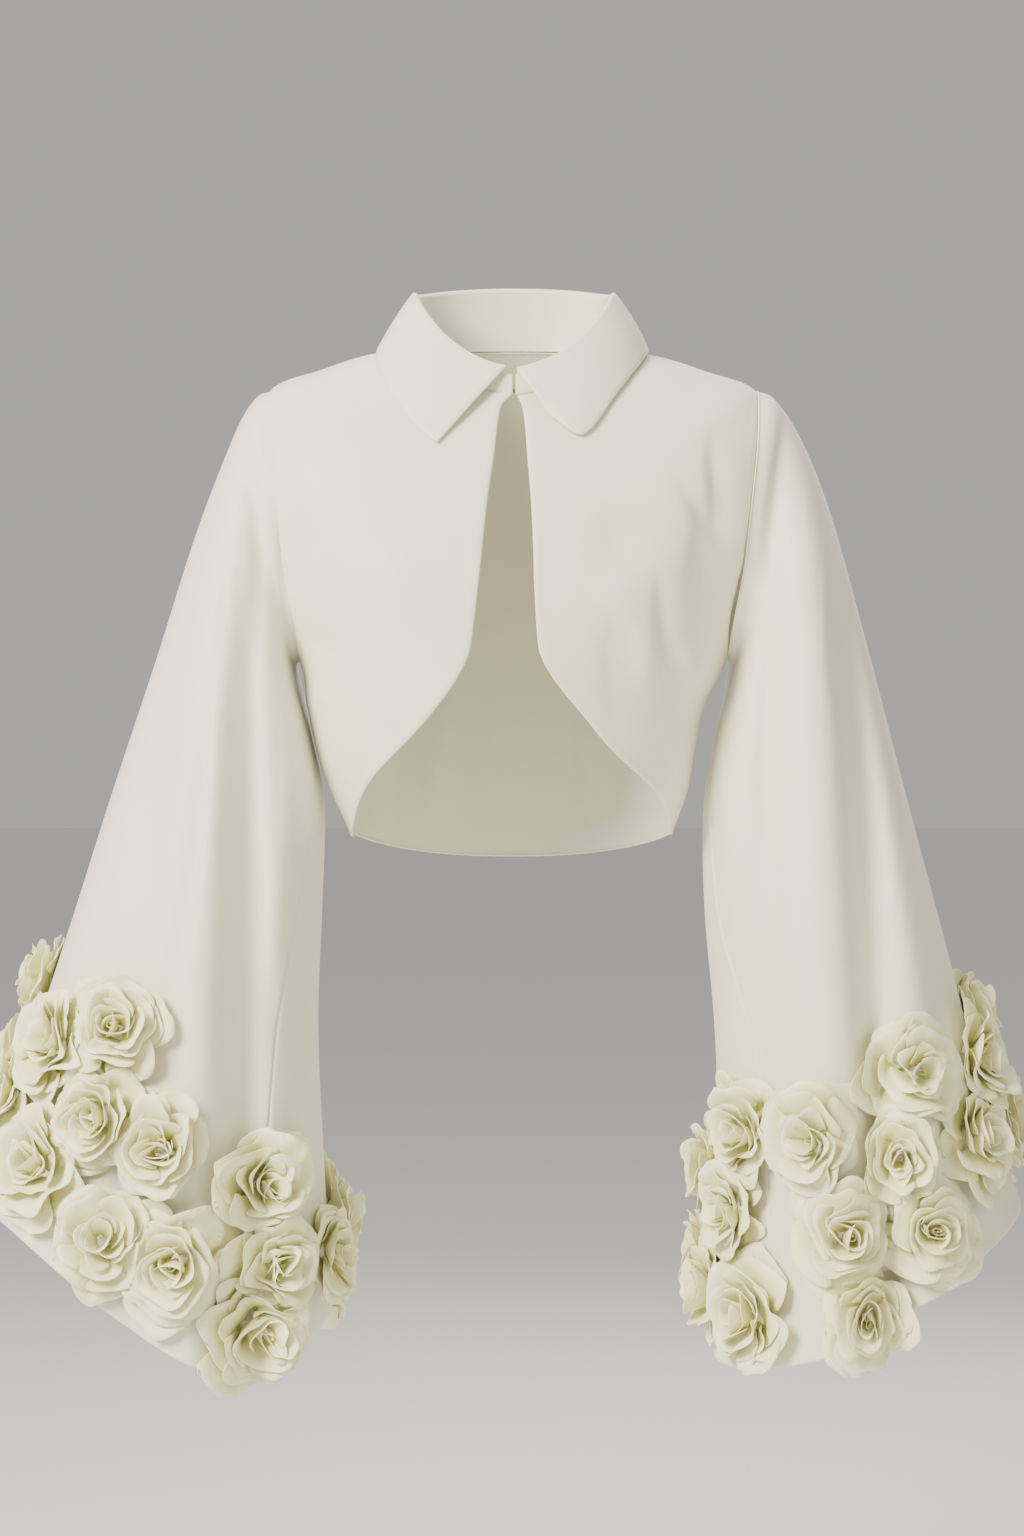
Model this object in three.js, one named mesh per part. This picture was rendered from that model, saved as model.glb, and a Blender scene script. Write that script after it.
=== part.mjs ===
// A cropped, open-front jacket with a pointed collar, cutaway fronts and long bell sleeves that carry
// bands of cloth roses, standing hollow as it is worn. Millimetres, +Z up, front towards -Y, wearer's left
// towards +X. The origin is on the centre plane, between the shoulders at the height of the neck points.
import * as THREE from "three";

// Driving dimensions.
const CLOTH = 1.6; // thickness of every cloth wall
const SEAM = 0.3; // gap between two pieces that are sewn together
const SQUARE = 0.87; // roundness of the body's rings: 1 is an ellipse, less is squarer

// Rings of the body from the neckline to the hem: half width, depth in front and behind, and the ring's
// height at centre front, sides and centre back.
const BODY_RINGS = [
  { at: 0, half: 76, front: 74, back: 60, zFront: -38, zSide: 6, zBack: 16 }, // neckline
  { at: 1, half: 112, front: 84, back: 72, zFront: -60, zSide: 2, zBack: -2 }, // collarbone
  { at: 2, half: 150, front: 95, back: 86, zFront: -88, zSide: -10, zBack: -28 }, // yoke
  { at: 3, half: 188, front: 106, back: 98, zFront: -120, zSide: -25, zBack: -66 }, // shoulder point
  { at: 4, half: 208, front: 115, back: 105, zFront: -153, zSide: -64, zBack: -108 }, // sleeve cap
  { at: 5, half: 200, front: 121, back: 108, zFront: -187, zSide: -142, zBack: -158 }, // chest
  { at: 6, half: 166, front: 123, back: 107, zFront: -230, zSide: -232, zBack: -232 }, // underarm
  { at: 7, half: 153, front: 121, back: 102.5, zFront: -270, zSide: -272, zBack: -275 }, // bust
  { at: 8, half: 142.5, front: 116, back: 95, zFront: -320, zSide: -322, zBack: -332 }, // ribs
  { at: 9, half: 123.5, front: 108, back: 88, zFront: -370, zSide: -370, zBack: -390 }, // hem
];
const HEM = BODY_RINGS.length - 1;
// Below the armholes the body hangs to the wearer's right: how far under them, and how much less at the hem.
const BODY_LEAN = { below: 6, back: 4.5, from: 6, most: 7.1 };

// The armhole is an oval on those rings, from the shoulder point to the underarm.
const ARMHOLE = { top: 3, bottom: 6, frontDeg: 33, backDeg: 30, steps: 9 };

// Distance of the front edge from the centre plane, down to where it has swept round into the hem.
const FRONT_EDGE = [
  { at: 0, right: 2.5, left: 2.5 },
  { at: 0.4, right: 9.5, left: 6 },
  { at: 1, right: 12.5, left: 8 },
  { at: 2, right: 15.5, left: 10 },
  { at: 3, right: 20, left: 12.5 },
  { at: 4, right: 23.5, left: 14 },
  { at: 5, right: 27, left: 15 },
  { at: 6, right: 32.5, left: 18 },
  { at: 6.25, right: 35.2, left: 22.3 },
  { at: 6.5, right: 38.4, left: 29.6 },
  { at: 6.75, right: 42.6, left: 38.6 },
  { at: 7, right: 49.3, left: 48.6 },
  { at: 7.25, right: 59, left: 59 },
  { at: 7.5, right: 71, left: 69 },
  { at: 7.75, right: 85, left: 80.5 },
  { at: 8, right: 98.5, left: 94 },
  { at: 8.25, right: 108.5, left: 107.5 },
  { at: 8.5, right: 115, left: 116 },
  { at: 8.75, right: 119.5, left: 120.5 },
  { at: 9, right: 122.8, left: 123.2 },
];

// Sleeve sections below the armhole: where the outer and the inner edge lie, how far the section reaches in
// front and behind, and how far its front and back sag below a straight line between its edges.
const LEFT_SECTIONS = [
  { at: 1, outX: 209, outZ: -38.5, inX: 171, inZ: -240, front: 68, back: 62, sag: 3 },
  { at: 2, outX: 229, outZ: -76, inX: 166, inZ: -262, front: 75, back: 69, sag: 5 },
  { at: 3, outX: 250, outZ: -134, inX: 157, inZ: -293, front: 83, back: 77, sag: 7 },
  { at: 4, outX: 275, outZ: -226, inX: 148, inZ: -350, front: 93, back: 88, sag: 10 },
  { at: 5, outX: 303, outZ: -334, inX: 149, inZ: -430, front: 102, back: 99, sag: 14 },
  { at: 6, outX: 332, outZ: -443, inX: 157, inZ: -525, front: 110, back: 108, sag: 18 },
  { at: 7, outX: 361, outZ: -553, inX: 160, inZ: -638, front: 117, back: 116, sag: 23 },
  { at: 8, outX: 393, outZ: -655, inX: 156, inZ: -776, front: 124, back: 124, sag: 10 },
];
const RIGHT_SECTIONS = [
  { at: 1, outX: 207, outZ: -38.5, inX: 171, inZ: -240, front: 68, back: 62, sag: 3 },
  { at: 2, outX: 226, outZ: -80, inX: 167, inZ: -262, front: 75, back: 69, sag: 5 },
  { at: 3, outX: 249, outZ: -142, inX: 158, inZ: -293, front: 83, back: 77, sag: 8 },
  { at: 4, outX: 278, outZ: -234, inX: 148, inZ: -346, front: 93, back: 88, sag: 12 },
  { at: 5, outX: 313, outZ: -340, inX: 150, inZ: -428, front: 102, back: 99, sag: 17 },
  { at: 6, outX: 346, outZ: -444, inX: 153, inZ: -522, front: 110, back: 108, sag: 22 },
  { at: 7, outX: 382, outZ: -550, inX: 148, inZ: -634, front: 117, back: 116, sag: 29 },
  { at: 8, outX: 420, outZ: -642, inX: 142, inZ: -742, front: 124, back: 124, sag: 38 },
];
const SAG_LEAN = { left: 0.8, right: 1.2 }; // how far a sag shifts towards the inner edge
const CUFF = LEFT_SECTIONS.length; // the last section is the sleeve's hem
const SECTION_DROP = 115; // length of sleeve between two of the lower sections
const SLEEVE_ROWS = [0, 0.5, 1, 1.6, 2.3, 3, 3.8, 4.6, 5.4, 6.1, 6.8, 7.4, 8];

// Soft vertical flutes of the sleeves: distance from the centre plane at the top and at the cuff, width, and
// how far each stands out (or, below zero, sinks in) at the cuff.
const LEFT_FLUTES = [
  { face: "front", topX: 200, cuffX: 178, width: 14, depth: -5 },
  { face: "front", topX: 226, cuffX: 232, width: 22, depth: 9 },
  { face: "front", topX: 238, cuffX: 276, width: 13, depth: -18 },
  { face: "front", topX: 256, cuffX: 316, width: 20, depth: 9 },
  { face: "back", topX: 206, cuffX: 212, width: 17, depth: -12 },
  { face: "back", topX: 238, cuffX: 258, width: 20, depth: 10 },
  { face: "back", topX: 262, cuffX: 306, width: 17, depth: -11 },
];
const RIGHT_FLUTES = [
  { face: "front", topX: 176, cuffX: 168, width: 15, depth: 9 },
  { face: "front", topX: 196, cuffX: 203, width: 13, depth: -16 },
  { face: "front", topX: 212, cuffX: 236, width: 18, depth: 8 },
  { face: "front", topX: 250, cuffX: 286, width: 17, depth: -5 },
  { face: "back", topX: 204, cuffX: 222, width: 18, depth: 10 },
  { face: "back", topX: 232, cuffX: 262, width: 16, depth: -12 },
  { face: "back", topX: 262, cuffX: 318, width: 22, depth: 9 },
];

// Collar: a stand that rises from the neckline to the fold, and a leaf that rolls over it.
const FOLD = { half: 76, front: 71, back: 60, zFront: -22, zSide: 47, zBack: 62 };
const STAND_END = 0.6; // degrees from the centre plane to each end of the stand
const LEAF_END = 4; // degrees from the centre plane to where the leaf starts on the fold
const LEAF_TIP = { right: 19.4, left: 18 }; // degrees from the centre plane to each point of the collar
const LEAF_LIFT = 3.6; // height of the leaf's edge above the body
const LEAF_EDGE = [
  { at: 0, right: 2.02, left: 1.82 }, // the points
  { at: 0.06, right: 1.73, left: 1.37 },
  { at: 0.12, right: 1.46, left: 1.11 },
  { at: 0.25, right: 1.08, left: 0.89 },
  { at: 0.45, right: 0.82, left: 0.79 }, // over the shoulder seams
  { at: 1, right: 0.7, left: 0.7 }, // centre back
];
// The leaf's roll over the fold: distance out from the stand's face, and height above the fold.
const LEAF_ROLL = [
  { out: -1.6, up: 0.4 },
  { out: -1.3, up: 3.2 },
  { out: 1.4, up: 5.2 },
  { out: 4.4, up: 3.0 },
];

// Roses: degrees round the sleeve from its outer edge, over the front, distance up from the hem, and radius.
const LEFT_ROSES = [
  { around: 66, up: 164, radius: 39 },
  { around: 28, up: 139, radius: 36 },
  { around: 44, up: 88, radius: 36 },
  { around: 110, up: 158, radius: 39 },
  { around: 76, up: 113, radius: 35 },
  { around: 103, up: 84, radius: 39 },
  { around: 71, up: 47, radius: 36 },
  { around: 97, up: 19, radius: 35 },
  { around: 142, up: 162, radius: 36 },
  { around: 152, up: 106, radius: 33 },
  { around: 142, up: 38, radius: 39 },
  { around: 354, up: 158, radius: 34 },
  { around: 10, up: 74, radius: 36 },
  { around: 328, up: 128, radius: 39 },
  { around: 334, up: 50, radius: 37 },
  { around: 300, up: 174, radius: 36 },
  { around: 298, up: 92, radius: 39 },
  { around: 266, up: 136, radius: 38 },
  { around: 268, up: 50, radius: 38 },
  { around: 230, up: 106, radius: 37 },
  { around: 228, up: 24, radius: 36 },
  { around: 198, up: 62, radius: 37 },
  { around: 180, up: 128, radius: 35 },
  { around: 172, up: 42, radius: 34 },
];
const RIGHT_ROSES = [
  { around: 43, up: 150, radius: 39 },
  { around: 67, up: 195, radius: 36 },
  { around: 92, up: 139, radius: 36 },
  { around: 53, up: 61, radius: 39 },
  { around: 69, up: 133, radius: 35 },
  { around: 78, up: 45, radius: 36 },
  { around: 101, up: 68, radius: 39 },
  { around: 129, up: 132, radius: 36 },
  { around: 136, up: 74, radius: 35 },
  { around: 128, up: 31, radius: 37 },
  { around: 167, up: 59, radius: 34 },
  { around: 356, up: 178, radius: 34 },
  { around: 22, up: 96, radius: 36 },
  { around: 348, up: 118, radius: 38 },
  { around: 344, up: 42, radius: 37 },
  { around: 316, up: 110, radius: 39 },
  { around: 312, up: 36, radius: 37 },
  { around: 290, up: 166, radius: 37 },
  { around: 280, up: 84, radius: 39 },
  { around: 250, up: 138, radius: 38 },
  { around: 246, up: 52, radius: 39 },
  { around: 216, up: 104, radius: 38 },
  { around: 210, up: 26, radius: 36 },
  { around: 190, up: 74, radius: 34 },
];
const ROSE_GAP = 1; // between neighbouring roses
const STITCHED = 0.5; // between a rose's foot and the cloth it is sewn to
const ROSE_POINTS = 12; // two round the edge for each of six petals
// A rose from its foot over three tiers of petals to the dimple in its heart: share of the radius, height,
// and how much the petals scallop that edge.
const ROSE_PROFILE = [
  { share: 0.3, lift: 0.4, scallop: 0 },
  { share: 0.65, lift: 3.4, scallop: 0 },
  { share: 1.0, lift: 7, scallop: 0.16 },
  { share: 0.74, lift: 10, scallop: 0 },
  { share: 0.7, lift: 18, scallop: 0.14 },
  { share: 0.45, lift: 16, scallop: 0 },
  { share: 0.4, lift: 25, scallop: 0.12 },
];
const RIM = 2; // the row of the rose's widest ring
const ROSE_HEART = 20; // height of the dimple

// Hook and eye that close the stand at the centre front.
const CLOSURE = { z: -34, wire: 0.55, eye: 2.6, hookWide: 3.6, hookLong: 6.5, hookThick: 0.9, behind: 0 };

const IVORY = new THREE.MeshStandardMaterial({ color: 0xe9e8d9, roughness: 0.62, metalness: 0 });
const PETAL = new THREE.MeshStandardMaterial({ color: 0xe3e5c8, roughness: 0.75, metalness: 0 });
const STEEL = new THREE.MeshStandardMaterial({ color: 0xb9bab5, roughness: 0.3, metalness: 1 });

const radians = THREE.MathUtils.degToRad;
const lerp = THREE.MathUtils.lerp;
const vector = (x, y, z) => new THREE.Vector3(x, y, z);

// Smooth curve between four neighbouring values, by cubic Hermite with slopes per unit of the whole span.
function hermite(from, to, slopeFrom, slopeTo, t) {
  const [t2, t3] = [t * t, t * t * t];
  return (2 * t3 - 3 * t2 + 1) * from + (t3 - 2 * t2 + t) * slopeFrom + (3 * t2 - 2 * t3) * to + (t3 - t2) * slopeTo;
}

// A table's column read smoothly at any place between its rows, and straight on past its ends.
function column(rows, key, at) {
  const last = rows.length - 1;
  let i = 0;
  while (i < last - 1 && at > rows[i + 1].at) i++;
  const slope = (k) => {
    const [before, after] = [rows[Math.max(k - 1, 0)], rows[Math.min(k + 1, last)]];
    return (after[key] - before[key]) / (after.at - before.at);
  };
  const [a, b] = [rows[i], rows[i + 1]];
  const span = b.at - a.at;
  const t = (at - a.at) / span;
  if (t > 1) return b[key] + slope(i + 1) * (at - b.at);
  if (t < 0) return a[key] + slope(i) * (at - a.at);
  return hermite(a[key], b[key], slope(i) * span, slope(i + 1) * span, t);
}

// A point of a ring round the body at an angle from centre front over the wearer's left: the front drops in
// a soft V, the back in a plain curve.
function onRing(ring, degrees) {
  const [sin, cos] = [Math.sin(radians(degrees)), Math.cos(radians(degrees))];
  const x = ring.half * Math.sign(sin) * Math.abs(sin) ** SQUARE;
  const depth = Math.abs(cos) ** SQUARE;
  if (cos >= 0) {
    const drop = 0.8 * cos ** 1.6 + 0.2 * (1 - Math.abs(sin));
    return vector(x, -ring.front * depth, lerp(ring.zSide, ring.zFront, drop));
  }
  return vector(x, ring.back * depth, lerp(ring.zSide, ring.zBack, Math.abs(cos) ** 1.4));
}

function ringAt(at) {
  const ring = {};
  for (const key of ["half", "front", "back", "zFront", "zSide", "zBack"]) ring[key] = column(BODY_RINGS, key, at);
  return ring;
}

function bodyPoint(degrees, at) {
  const { below, back, from, most } = BODY_LEAN;
  const point = onRing(ringAt(at), degrees);
  const { smoothstep } = THREE.MathUtils;
  point.x += back * smoothstep(at, most, HEM) - below * smoothstep(at, from, most);
  return point;
}

// Outward normal of a surface given by a function of two numbers, with the turn that makes it face out.
function normalOf(surface, u, v, stepU, stepV, turn) {
  const alongU = surface(u + stepU, v).sub(surface(u - stepU, v));
  const alongV = surface(u, v + stepV).sub(surface(u, v - stepV));
  return alongV.cross(alongU).normalize().multiplyScalar(turn);
}

const bodyNormal = (degrees, at) => normalOf(bodyPoint, degrees, at, 1, 0.05, 1);

// A closed wall between an outer and an inner grid of points, either open or closed in a loop along its rows.
function wall(name, material, outer, inner, loop = false) {
  const [rows, cols] = [outer.length, outer[0].length];
  const position = [...outer, ...inner].flat().flatMap((p) => [p.x, p.y, p.z]);
  const index = [];
  const out = (j, i) => j * cols + (i % cols);
  const back = (j, i) => rows * cols + out(j, i);
  const quad = (a, b, c, d) => index.push(a, b, c, a, c, d);
  const spans = loop ? cols : cols - 1;
  for (let i = 0; i < spans; i++) {
    for (let j = 0; j < rows - 1; j++) {
      quad(out(j, i), out(j + 1, i), out(j + 1, i + 1), out(j, i + 1));
      quad(back(j, i), back(j, i + 1), back(j + 1, i + 1), back(j + 1, i));
    }
    quad(out(0, i), out(0, i + 1), back(0, i + 1), back(0, i));
    quad(out(rows - 1, i), back(rows - 1, i), back(rows - 1, i + 1), out(rows - 1, i + 1));
  }
  for (let j = 0; !loop && j < rows - 1; j++) {
    quad(out(j, 0), back(j, 0), back(j + 1, 0), out(j + 1, 0));
    quad(out(j, cols - 1), out(j + 1, cols - 1), back(j + 1, cols - 1), back(j, cols - 1));
  }
  return solid(name, material, position, index);
}

// A named mesh from shared points and faces, turned the right way out.
function solid(name, material, position, index) {
  const corner = (k) => vector(...position.slice(3 * index[k], 3 * index[k] + 3));
  let volume = 0;
  for (let k = 0; k < index.length; k += 3) volume += corner(k).dot(corner(k + 1).cross(corner(k + 2)));
  if (volume < 0) index.reverse();
  const geometry = new THREE.BufferGeometry();
  geometry.setAttribute("position", new THREE.Float32BufferAttribute(position, 3));
  geometry.setIndex(index);
  geometry.computeVertexNormals();
  const mesh = new THREE.Mesh(geometry, material);
  mesh.name = name;
  return mesh;
}

const stations = (count) => Array.from({ length: count + 1 }, (_, i) => i / count);

// Rows of a body panel: the shoulder seam, the armhole's own steps, then the side seam.
const SHOULDER_ROWS = [0, 0.4, 1, 1.7, 2.4];
const SIDE_ROWS = [6.5, 7, 7.5, 8, 8.4, 8.75, HEM];
const ARMHOLE_ROWS = stations(ARMHOLE.steps).map((share) => armholeRing(180 * share));
const PANEL_ROWS = [...SHOULDER_ROWS, ...ARMHOLE_ROWS, ...SIDE_ROWS];

// Ring that the armhole crosses at an angle round it, from 0 at the shoulder to 180 at the underarm.
function armholeRing(degrees) {
  const middle = (ARMHOLE.top + ARMHOLE.bottom) / 2;
  return middle - (ARMHOLE.bottom - middle) * Math.cos(radians(degrees));
}

// Angle round the body where the armhole cuts a ring, in front or behind.
function armholeCut(at, reachDeg) {
  const middle = (ARMHOLE.top + ARMHOLE.bottom) / 2;
  const share = (at - middle) / (ARMHOLE.bottom - middle);
  return Math.abs(share) >= 1 ? 0 : reachDeg * Math.sqrt(1 - share * share);
}

// A body panel between two angles that change from ring to ring, moved half a seam off its neighbour.
function panel(name, cols, fromDeg, toDeg, seamY) {
  const place = (share, at) => lerp(fromDeg(at), toDeg(at), share);
  const shift = vector(0, seamY, 0);
  const outer = PANEL_ROWS.map((at) => stations(cols).map((u) => bodyPoint(place(u, at), at).add(shift)));
  const inner = PANEL_ROWS.map((at, j) =>
    stations(cols).map((u, i) => outer[j][i].clone().addScaledVector(bodyNormal(place(u, at), at), -CLOTH)),
  );
  return wall(name, IVORY, outer, inner);
}

// Angle at which a front edge that far from the centre plane meets a ring.
function edgeAngle(side, at) {
  const share = column(FRONT_EDGE, side, at) / ringAt(at).half;
  return THREE.MathUtils.radToDeg(Math.asin(Math.min(share, 1) ** (1 / SQUARE)));
}

function fronts() {
  const cut = (at) => 90 - armholeCut(at, ARMHOLE.frontDeg);
  const left = panel("front_left", 9, (at) => edgeAngle("left", at), cut, -SEAM / 2);
  const right = panel("front_right", 9, (at) => -edgeAngle("right", at), (at) => -cut(at), -SEAM / 2);
  return [left, right];
}

function back() {
  const cut = (at) => 90 + armholeCut(at, ARMHOLE.backDeg);
  return panel("back", 18, cut, (at) => 360 - cut(at), SEAM / 2);
}

// Place on the body's rings of the armhole's edge, for an angle round it over the front.
function armholePlace(degrees) {
  const sin = Math.sin(radians(degrees));
  const reach = sin >= 0 ? ARMHOLE.frontDeg : ARMHOLE.backDeg;
  return [90 - reach * sin, armholeRing(degrees)];
}

// One sleeve as it is cut and hung, on the wearer's left, and mirrored for the right by its side.
class Sleeve {
  constructor(name, side, sections, flutes) {
    Object.assign(this, { name, side, sections, flutes });
    this.sagLean = SAG_LEAN[name];
    this.spans = 4 * ARMHOLE.steps;
  }

  // A point of one numbered section, where 0 is the armhole.
  section(number, degrees) {
    if (number === 0) return bodyPoint(...armholePlace(degrees));
    const row = this.sections[number - 1];
    const [sin, cos] = [Math.sin(radians(degrees)), Math.cos(radians(degrees))];
    const [x, z] = [
      lerp(row.inX, row.outX, (1 + cos) / 2),
      lerp(row.inZ, row.outZ, (1 + cos) / 2) - row.sag * sin * sin * (1 - this.sagLean * cos),
    ];
    return vector(x, sin >= 0 ? -row.front * sin : -row.back * sin, z);
  }

  // How far the flutes push the cloth out at a point.
  flute(point, down, face) {
    const ramp = THREE.MathUtils.smoothstep(down, 0.5, 5);
    const share = THREE.MathUtils.clamp(down / CUFF, 0, 1);
    return this.flutes
      .filter((flute) => flute.face === face)
      .map((flute) => {
        const off = (point.x - lerp(flute.topX, flute.cuffX, share)) / flute.width;
        return flute.depth * ramp * Math.exp(-off * off);
      })
      .reduce((sum, push) => sum + push, 0);
  }

  // Outer surface, by angle round the sleeve from its outer edge over the front, and place down it.
  point(degrees, down) {
    const number = Math.min(Math.max(Math.floor(down), 0), CUFF - 1);
    const [a, b] = [this.section(number, degrees), this.section(number + 1, degrees)];
    const before = number > 0 ? this.section(number - 1, degrees) : a;
    const after = number + 2 <= CUFF ? this.section(number + 2, degrees) : b;
    const slopeA = b.clone().sub(before).multiplyScalar(number > 0 ? 0.5 : 1);
    const slopeB = after.clone().sub(a).multiplyScalar(number + 2 <= CUFF ? 0.5 : 1);
    const t = down - number;
    const found =
      t > 1
        ? b.clone().addScaledVector(slopeB, t - 1)
        : vector(...["x", "y", "z"].map((axis) => hermite(a[axis], b[axis], slopeA[axis], slopeB[axis], t)));
    const sin = Math.sin(radians(degrees));
    const push = this.flute(found, down, sin >= 0 ? "front" : "back") * Math.min(1, 1.6 * sin * sin);
    found.y -= Math.sign(sin) * push;
    return found;
  }

  normal(degrees, down) {
    return normalOf((u, v) => this.point(u, v), degrees, Math.max(down, 0.06), 2, 0.05, -1);
  }

  // The seam's edge: on the body's armhole, moved off it and turned gradually into the sleeve's own face.
  seamEdge(degrees) {
    const [angle, at] = armholePlace(degrees);
    const edge = bodyPoint(angle, at);
    const share = Math.cos(radians(degrees / 2)) ** 2;
    const bodyFace = bodyNormal(angle, at);
    const next = armholePlace(degrees + 1);
    const run = bodyPoint(...next).sub(bodyPoint(...armholePlace(degrees - 1))).normalize();
    const across = run.cross(bodyFace).normalize();
    if (across.x < 0) across.negate();
    const away = across.multiplyScalar(share).add(vector(1 - share, 0, 0)).normalize();
    const face = bodyFace.multiplyScalar(share).addScaledVector(this.normal(degrees, 0.3), 1 - share).normalize();
    const outer = edge.addScaledVector(away, 1.6 * SEAM);
    return { outer, inner: outer.clone().addScaledVector(face, -CLOTH) };
  }

  // Grids of the wall's outer and inner points. Every second point of the seam lies halfway between its
  // neighbours, so that the seam follows the straight steps of the body's armhole.
  grids() {
    const turns = Array.from({ length: this.spans }, (_, i) => (360 * i) / this.spans);
    const rows = SLEEVE_ROWS.slice(1);
    const seam = turns.map((degrees) => this.seamEdge(degrees));
    const halfway = (i, key) => seam[i - 1][key].clone().lerp(seam[(i + 1) % this.spans][key], 0.5);
    const edge = (key) => seam.map((points, i) => (i % 2 ? halfway(i, key) : points[key]));
    const outer = rows.map((down) => turns.map((degrees) => this.point(degrees, down)));
    const inner = rows.map((down, j) =>
      turns.map((degrees, i) => outer[j][i].clone().addScaledVector(this.normal(degrees, down), -CLOTH)),
    );
    return { outer: [edge("outer"), ...outer], inner: [edge("inner"), ...inner] };
  }

  // The point at any place on the built wall's own flat triangles.
  facet(outer, degrees, down) {
    const turn = (((degrees % 360) + 360) % 360) * (this.spans / 360);
    const [i, u] = [Math.floor(turn), turn - Math.floor(turn)];
    let j = 0;
    while (j < SLEEVE_ROWS.length - 2 && down > SLEEVE_ROWS[j + 1]) j++;
    const v = (down - SLEEVE_ROWS[j]) / (SLEEVE_ROWS[j + 1] - SLEEVE_ROWS[j]);
    const at = (row, col) => outer[row][col % this.spans];
    const [a, b, c, d] = [at(j, i), at(j + 1, i), at(j + 1, i + 1), at(j, i + 1)];
    const [first, middle, share, rest] = u < v ? [a, b, v, u] : [a, d, u, v];
    const run = middle.clone().sub(first).multiplyScalar(share);
    return run.add(first).addScaledVector(c, rest).addScaledVector(middle, -rest);
  }

  mirror(points) {
    return points.map((row) => row.map((p) => vector(this.side * p.x, p.y, p.z)));
  }

  meshes(roses) {
    const { outer, inner } = this.grids();
    const body = wall(`sleeve_${this.name}`, IVORY, this.mirror(outer), this.mirror(inner), true);
    return [body, ...this.roses(roses, outer)];
  }

  // Centre, axis and neighbours of each rose.
  placed(roses) {
    const seats = roses.map((rose) => {
      const down = CUFF - rose.up / SECTION_DROP;
      const [centre, axis] = [this.point(rose.around, down), this.seatNormal(rose.around, down)];
      return { ...rose, down, centre, axis };
    });
    for (const seat of seats) {
      seat.others = seats.filter((other) => other !== seat).map((other) => other.centre.clone().sub(seat.centre));
    }
    return seats;
  }

  // Normal that looks past the flutes, so that roses side by side don't lean into each other.
  seatNormal(degrees, down) {
    return normalOf((u, v) => this.point(u, v), degrees, down, 16, 0.2, -1);
  }

  roses(roses, outer) {
    return this.placed(roses).map((seat, number) => {
      const { around, down, axis } = seat;
      const round = this.point(around + 3, down).sub(this.point(around - 3, down)).divideScalar(6);
      const along = this.point(around, down + 0.1).sub(this.point(around, down - 0.1)).divideScalar(0.2);
      const sideways = round.clone().normalize();
      const upwards = axis.clone().cross(sideways).normalize();
      const det = round.dot(sideways) * along.dot(upwards) - round.dot(upwards) * along.dot(sideways);
      // The point of the wall under a step sideways and upwards from the rose's centre.
      const foot = (a, b) => {
        const turn = (a * along.dot(upwards) - b * along.dot(sideways)) / det;
        const drop = (b * round.dot(sideways) - a * round.dot(upwards)) / det;
        return this.facet(outer, around + turn, down + drop);
      };
      // How far the petals reach in a direction before they would touch a neighbour's.
      const reach = (turn) => {
        const way = sideways.clone().multiplyScalar(Math.cos(turn)).addScaledVector(upwards, Math.sin(turn));
        const limits = seat.others.map((off) => {
          const along = off.dot(way) / off.length();
          return along > 0.1 ? (off.length() / 2 - ROSE_GAP) / along : Infinity;
        });
        return Math.min(seat.radius, ...limits);
      };
      return this.rose(`rose_${this.name}_${String(number + 1).padStart(2, "0")}`, seat, foot, reach);
    });
  }

  // How far a rose is raised so that the ridges of the wall clear the straight edges of its base.
  clearance(seat, foot, reach) {
    const spot = (k, row) => {
      const turn = (2 * Math.PI * k) / ROSE_POINTS;
      const far = reach(turn) * row.share;
      return { a: far * Math.cos(turn), b: far * Math.sin(turn), lift: row.lift };
    };
    let raise = 0;
    const test = (p, q) => {
      for (const share of [0.2, 0.4, 0.6, 0.8]) {
        const chord = foot(p.a, p.b).lerp(foot(q.a, q.b), share);
        const ridge = foot(lerp(p.a, q.a, share), lerp(p.b, q.b, share)).sub(chord).dot(seat.axis);
        raise = Math.max(raise, ridge - lerp(p.lift, q.lift, share));
      }
    };
    for (let k = 0; k < ROSE_POINTS; k++) {
      test({ a: 0, b: 0, lift: 0 }, spot(k, ROSE_PROFILE[0]));
      for (let row = 0; row <= RIM; row++) {
        test(spot(k, ROSE_PROFILE[row]), spot(k + 1, ROSE_PROFILE[row]));
        if (row < RIM) test(spot(k, ROSE_PROFILE[row]), spot(k, ROSE_PROFILE[row + 1]));
        if (row < RIM) test(spot(k, ROSE_PROFILE[row]), spot(k + 1, ROSE_PROFILE[row + 1]));
      }
    }
    return raise + STITCHED;
  }

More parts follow.
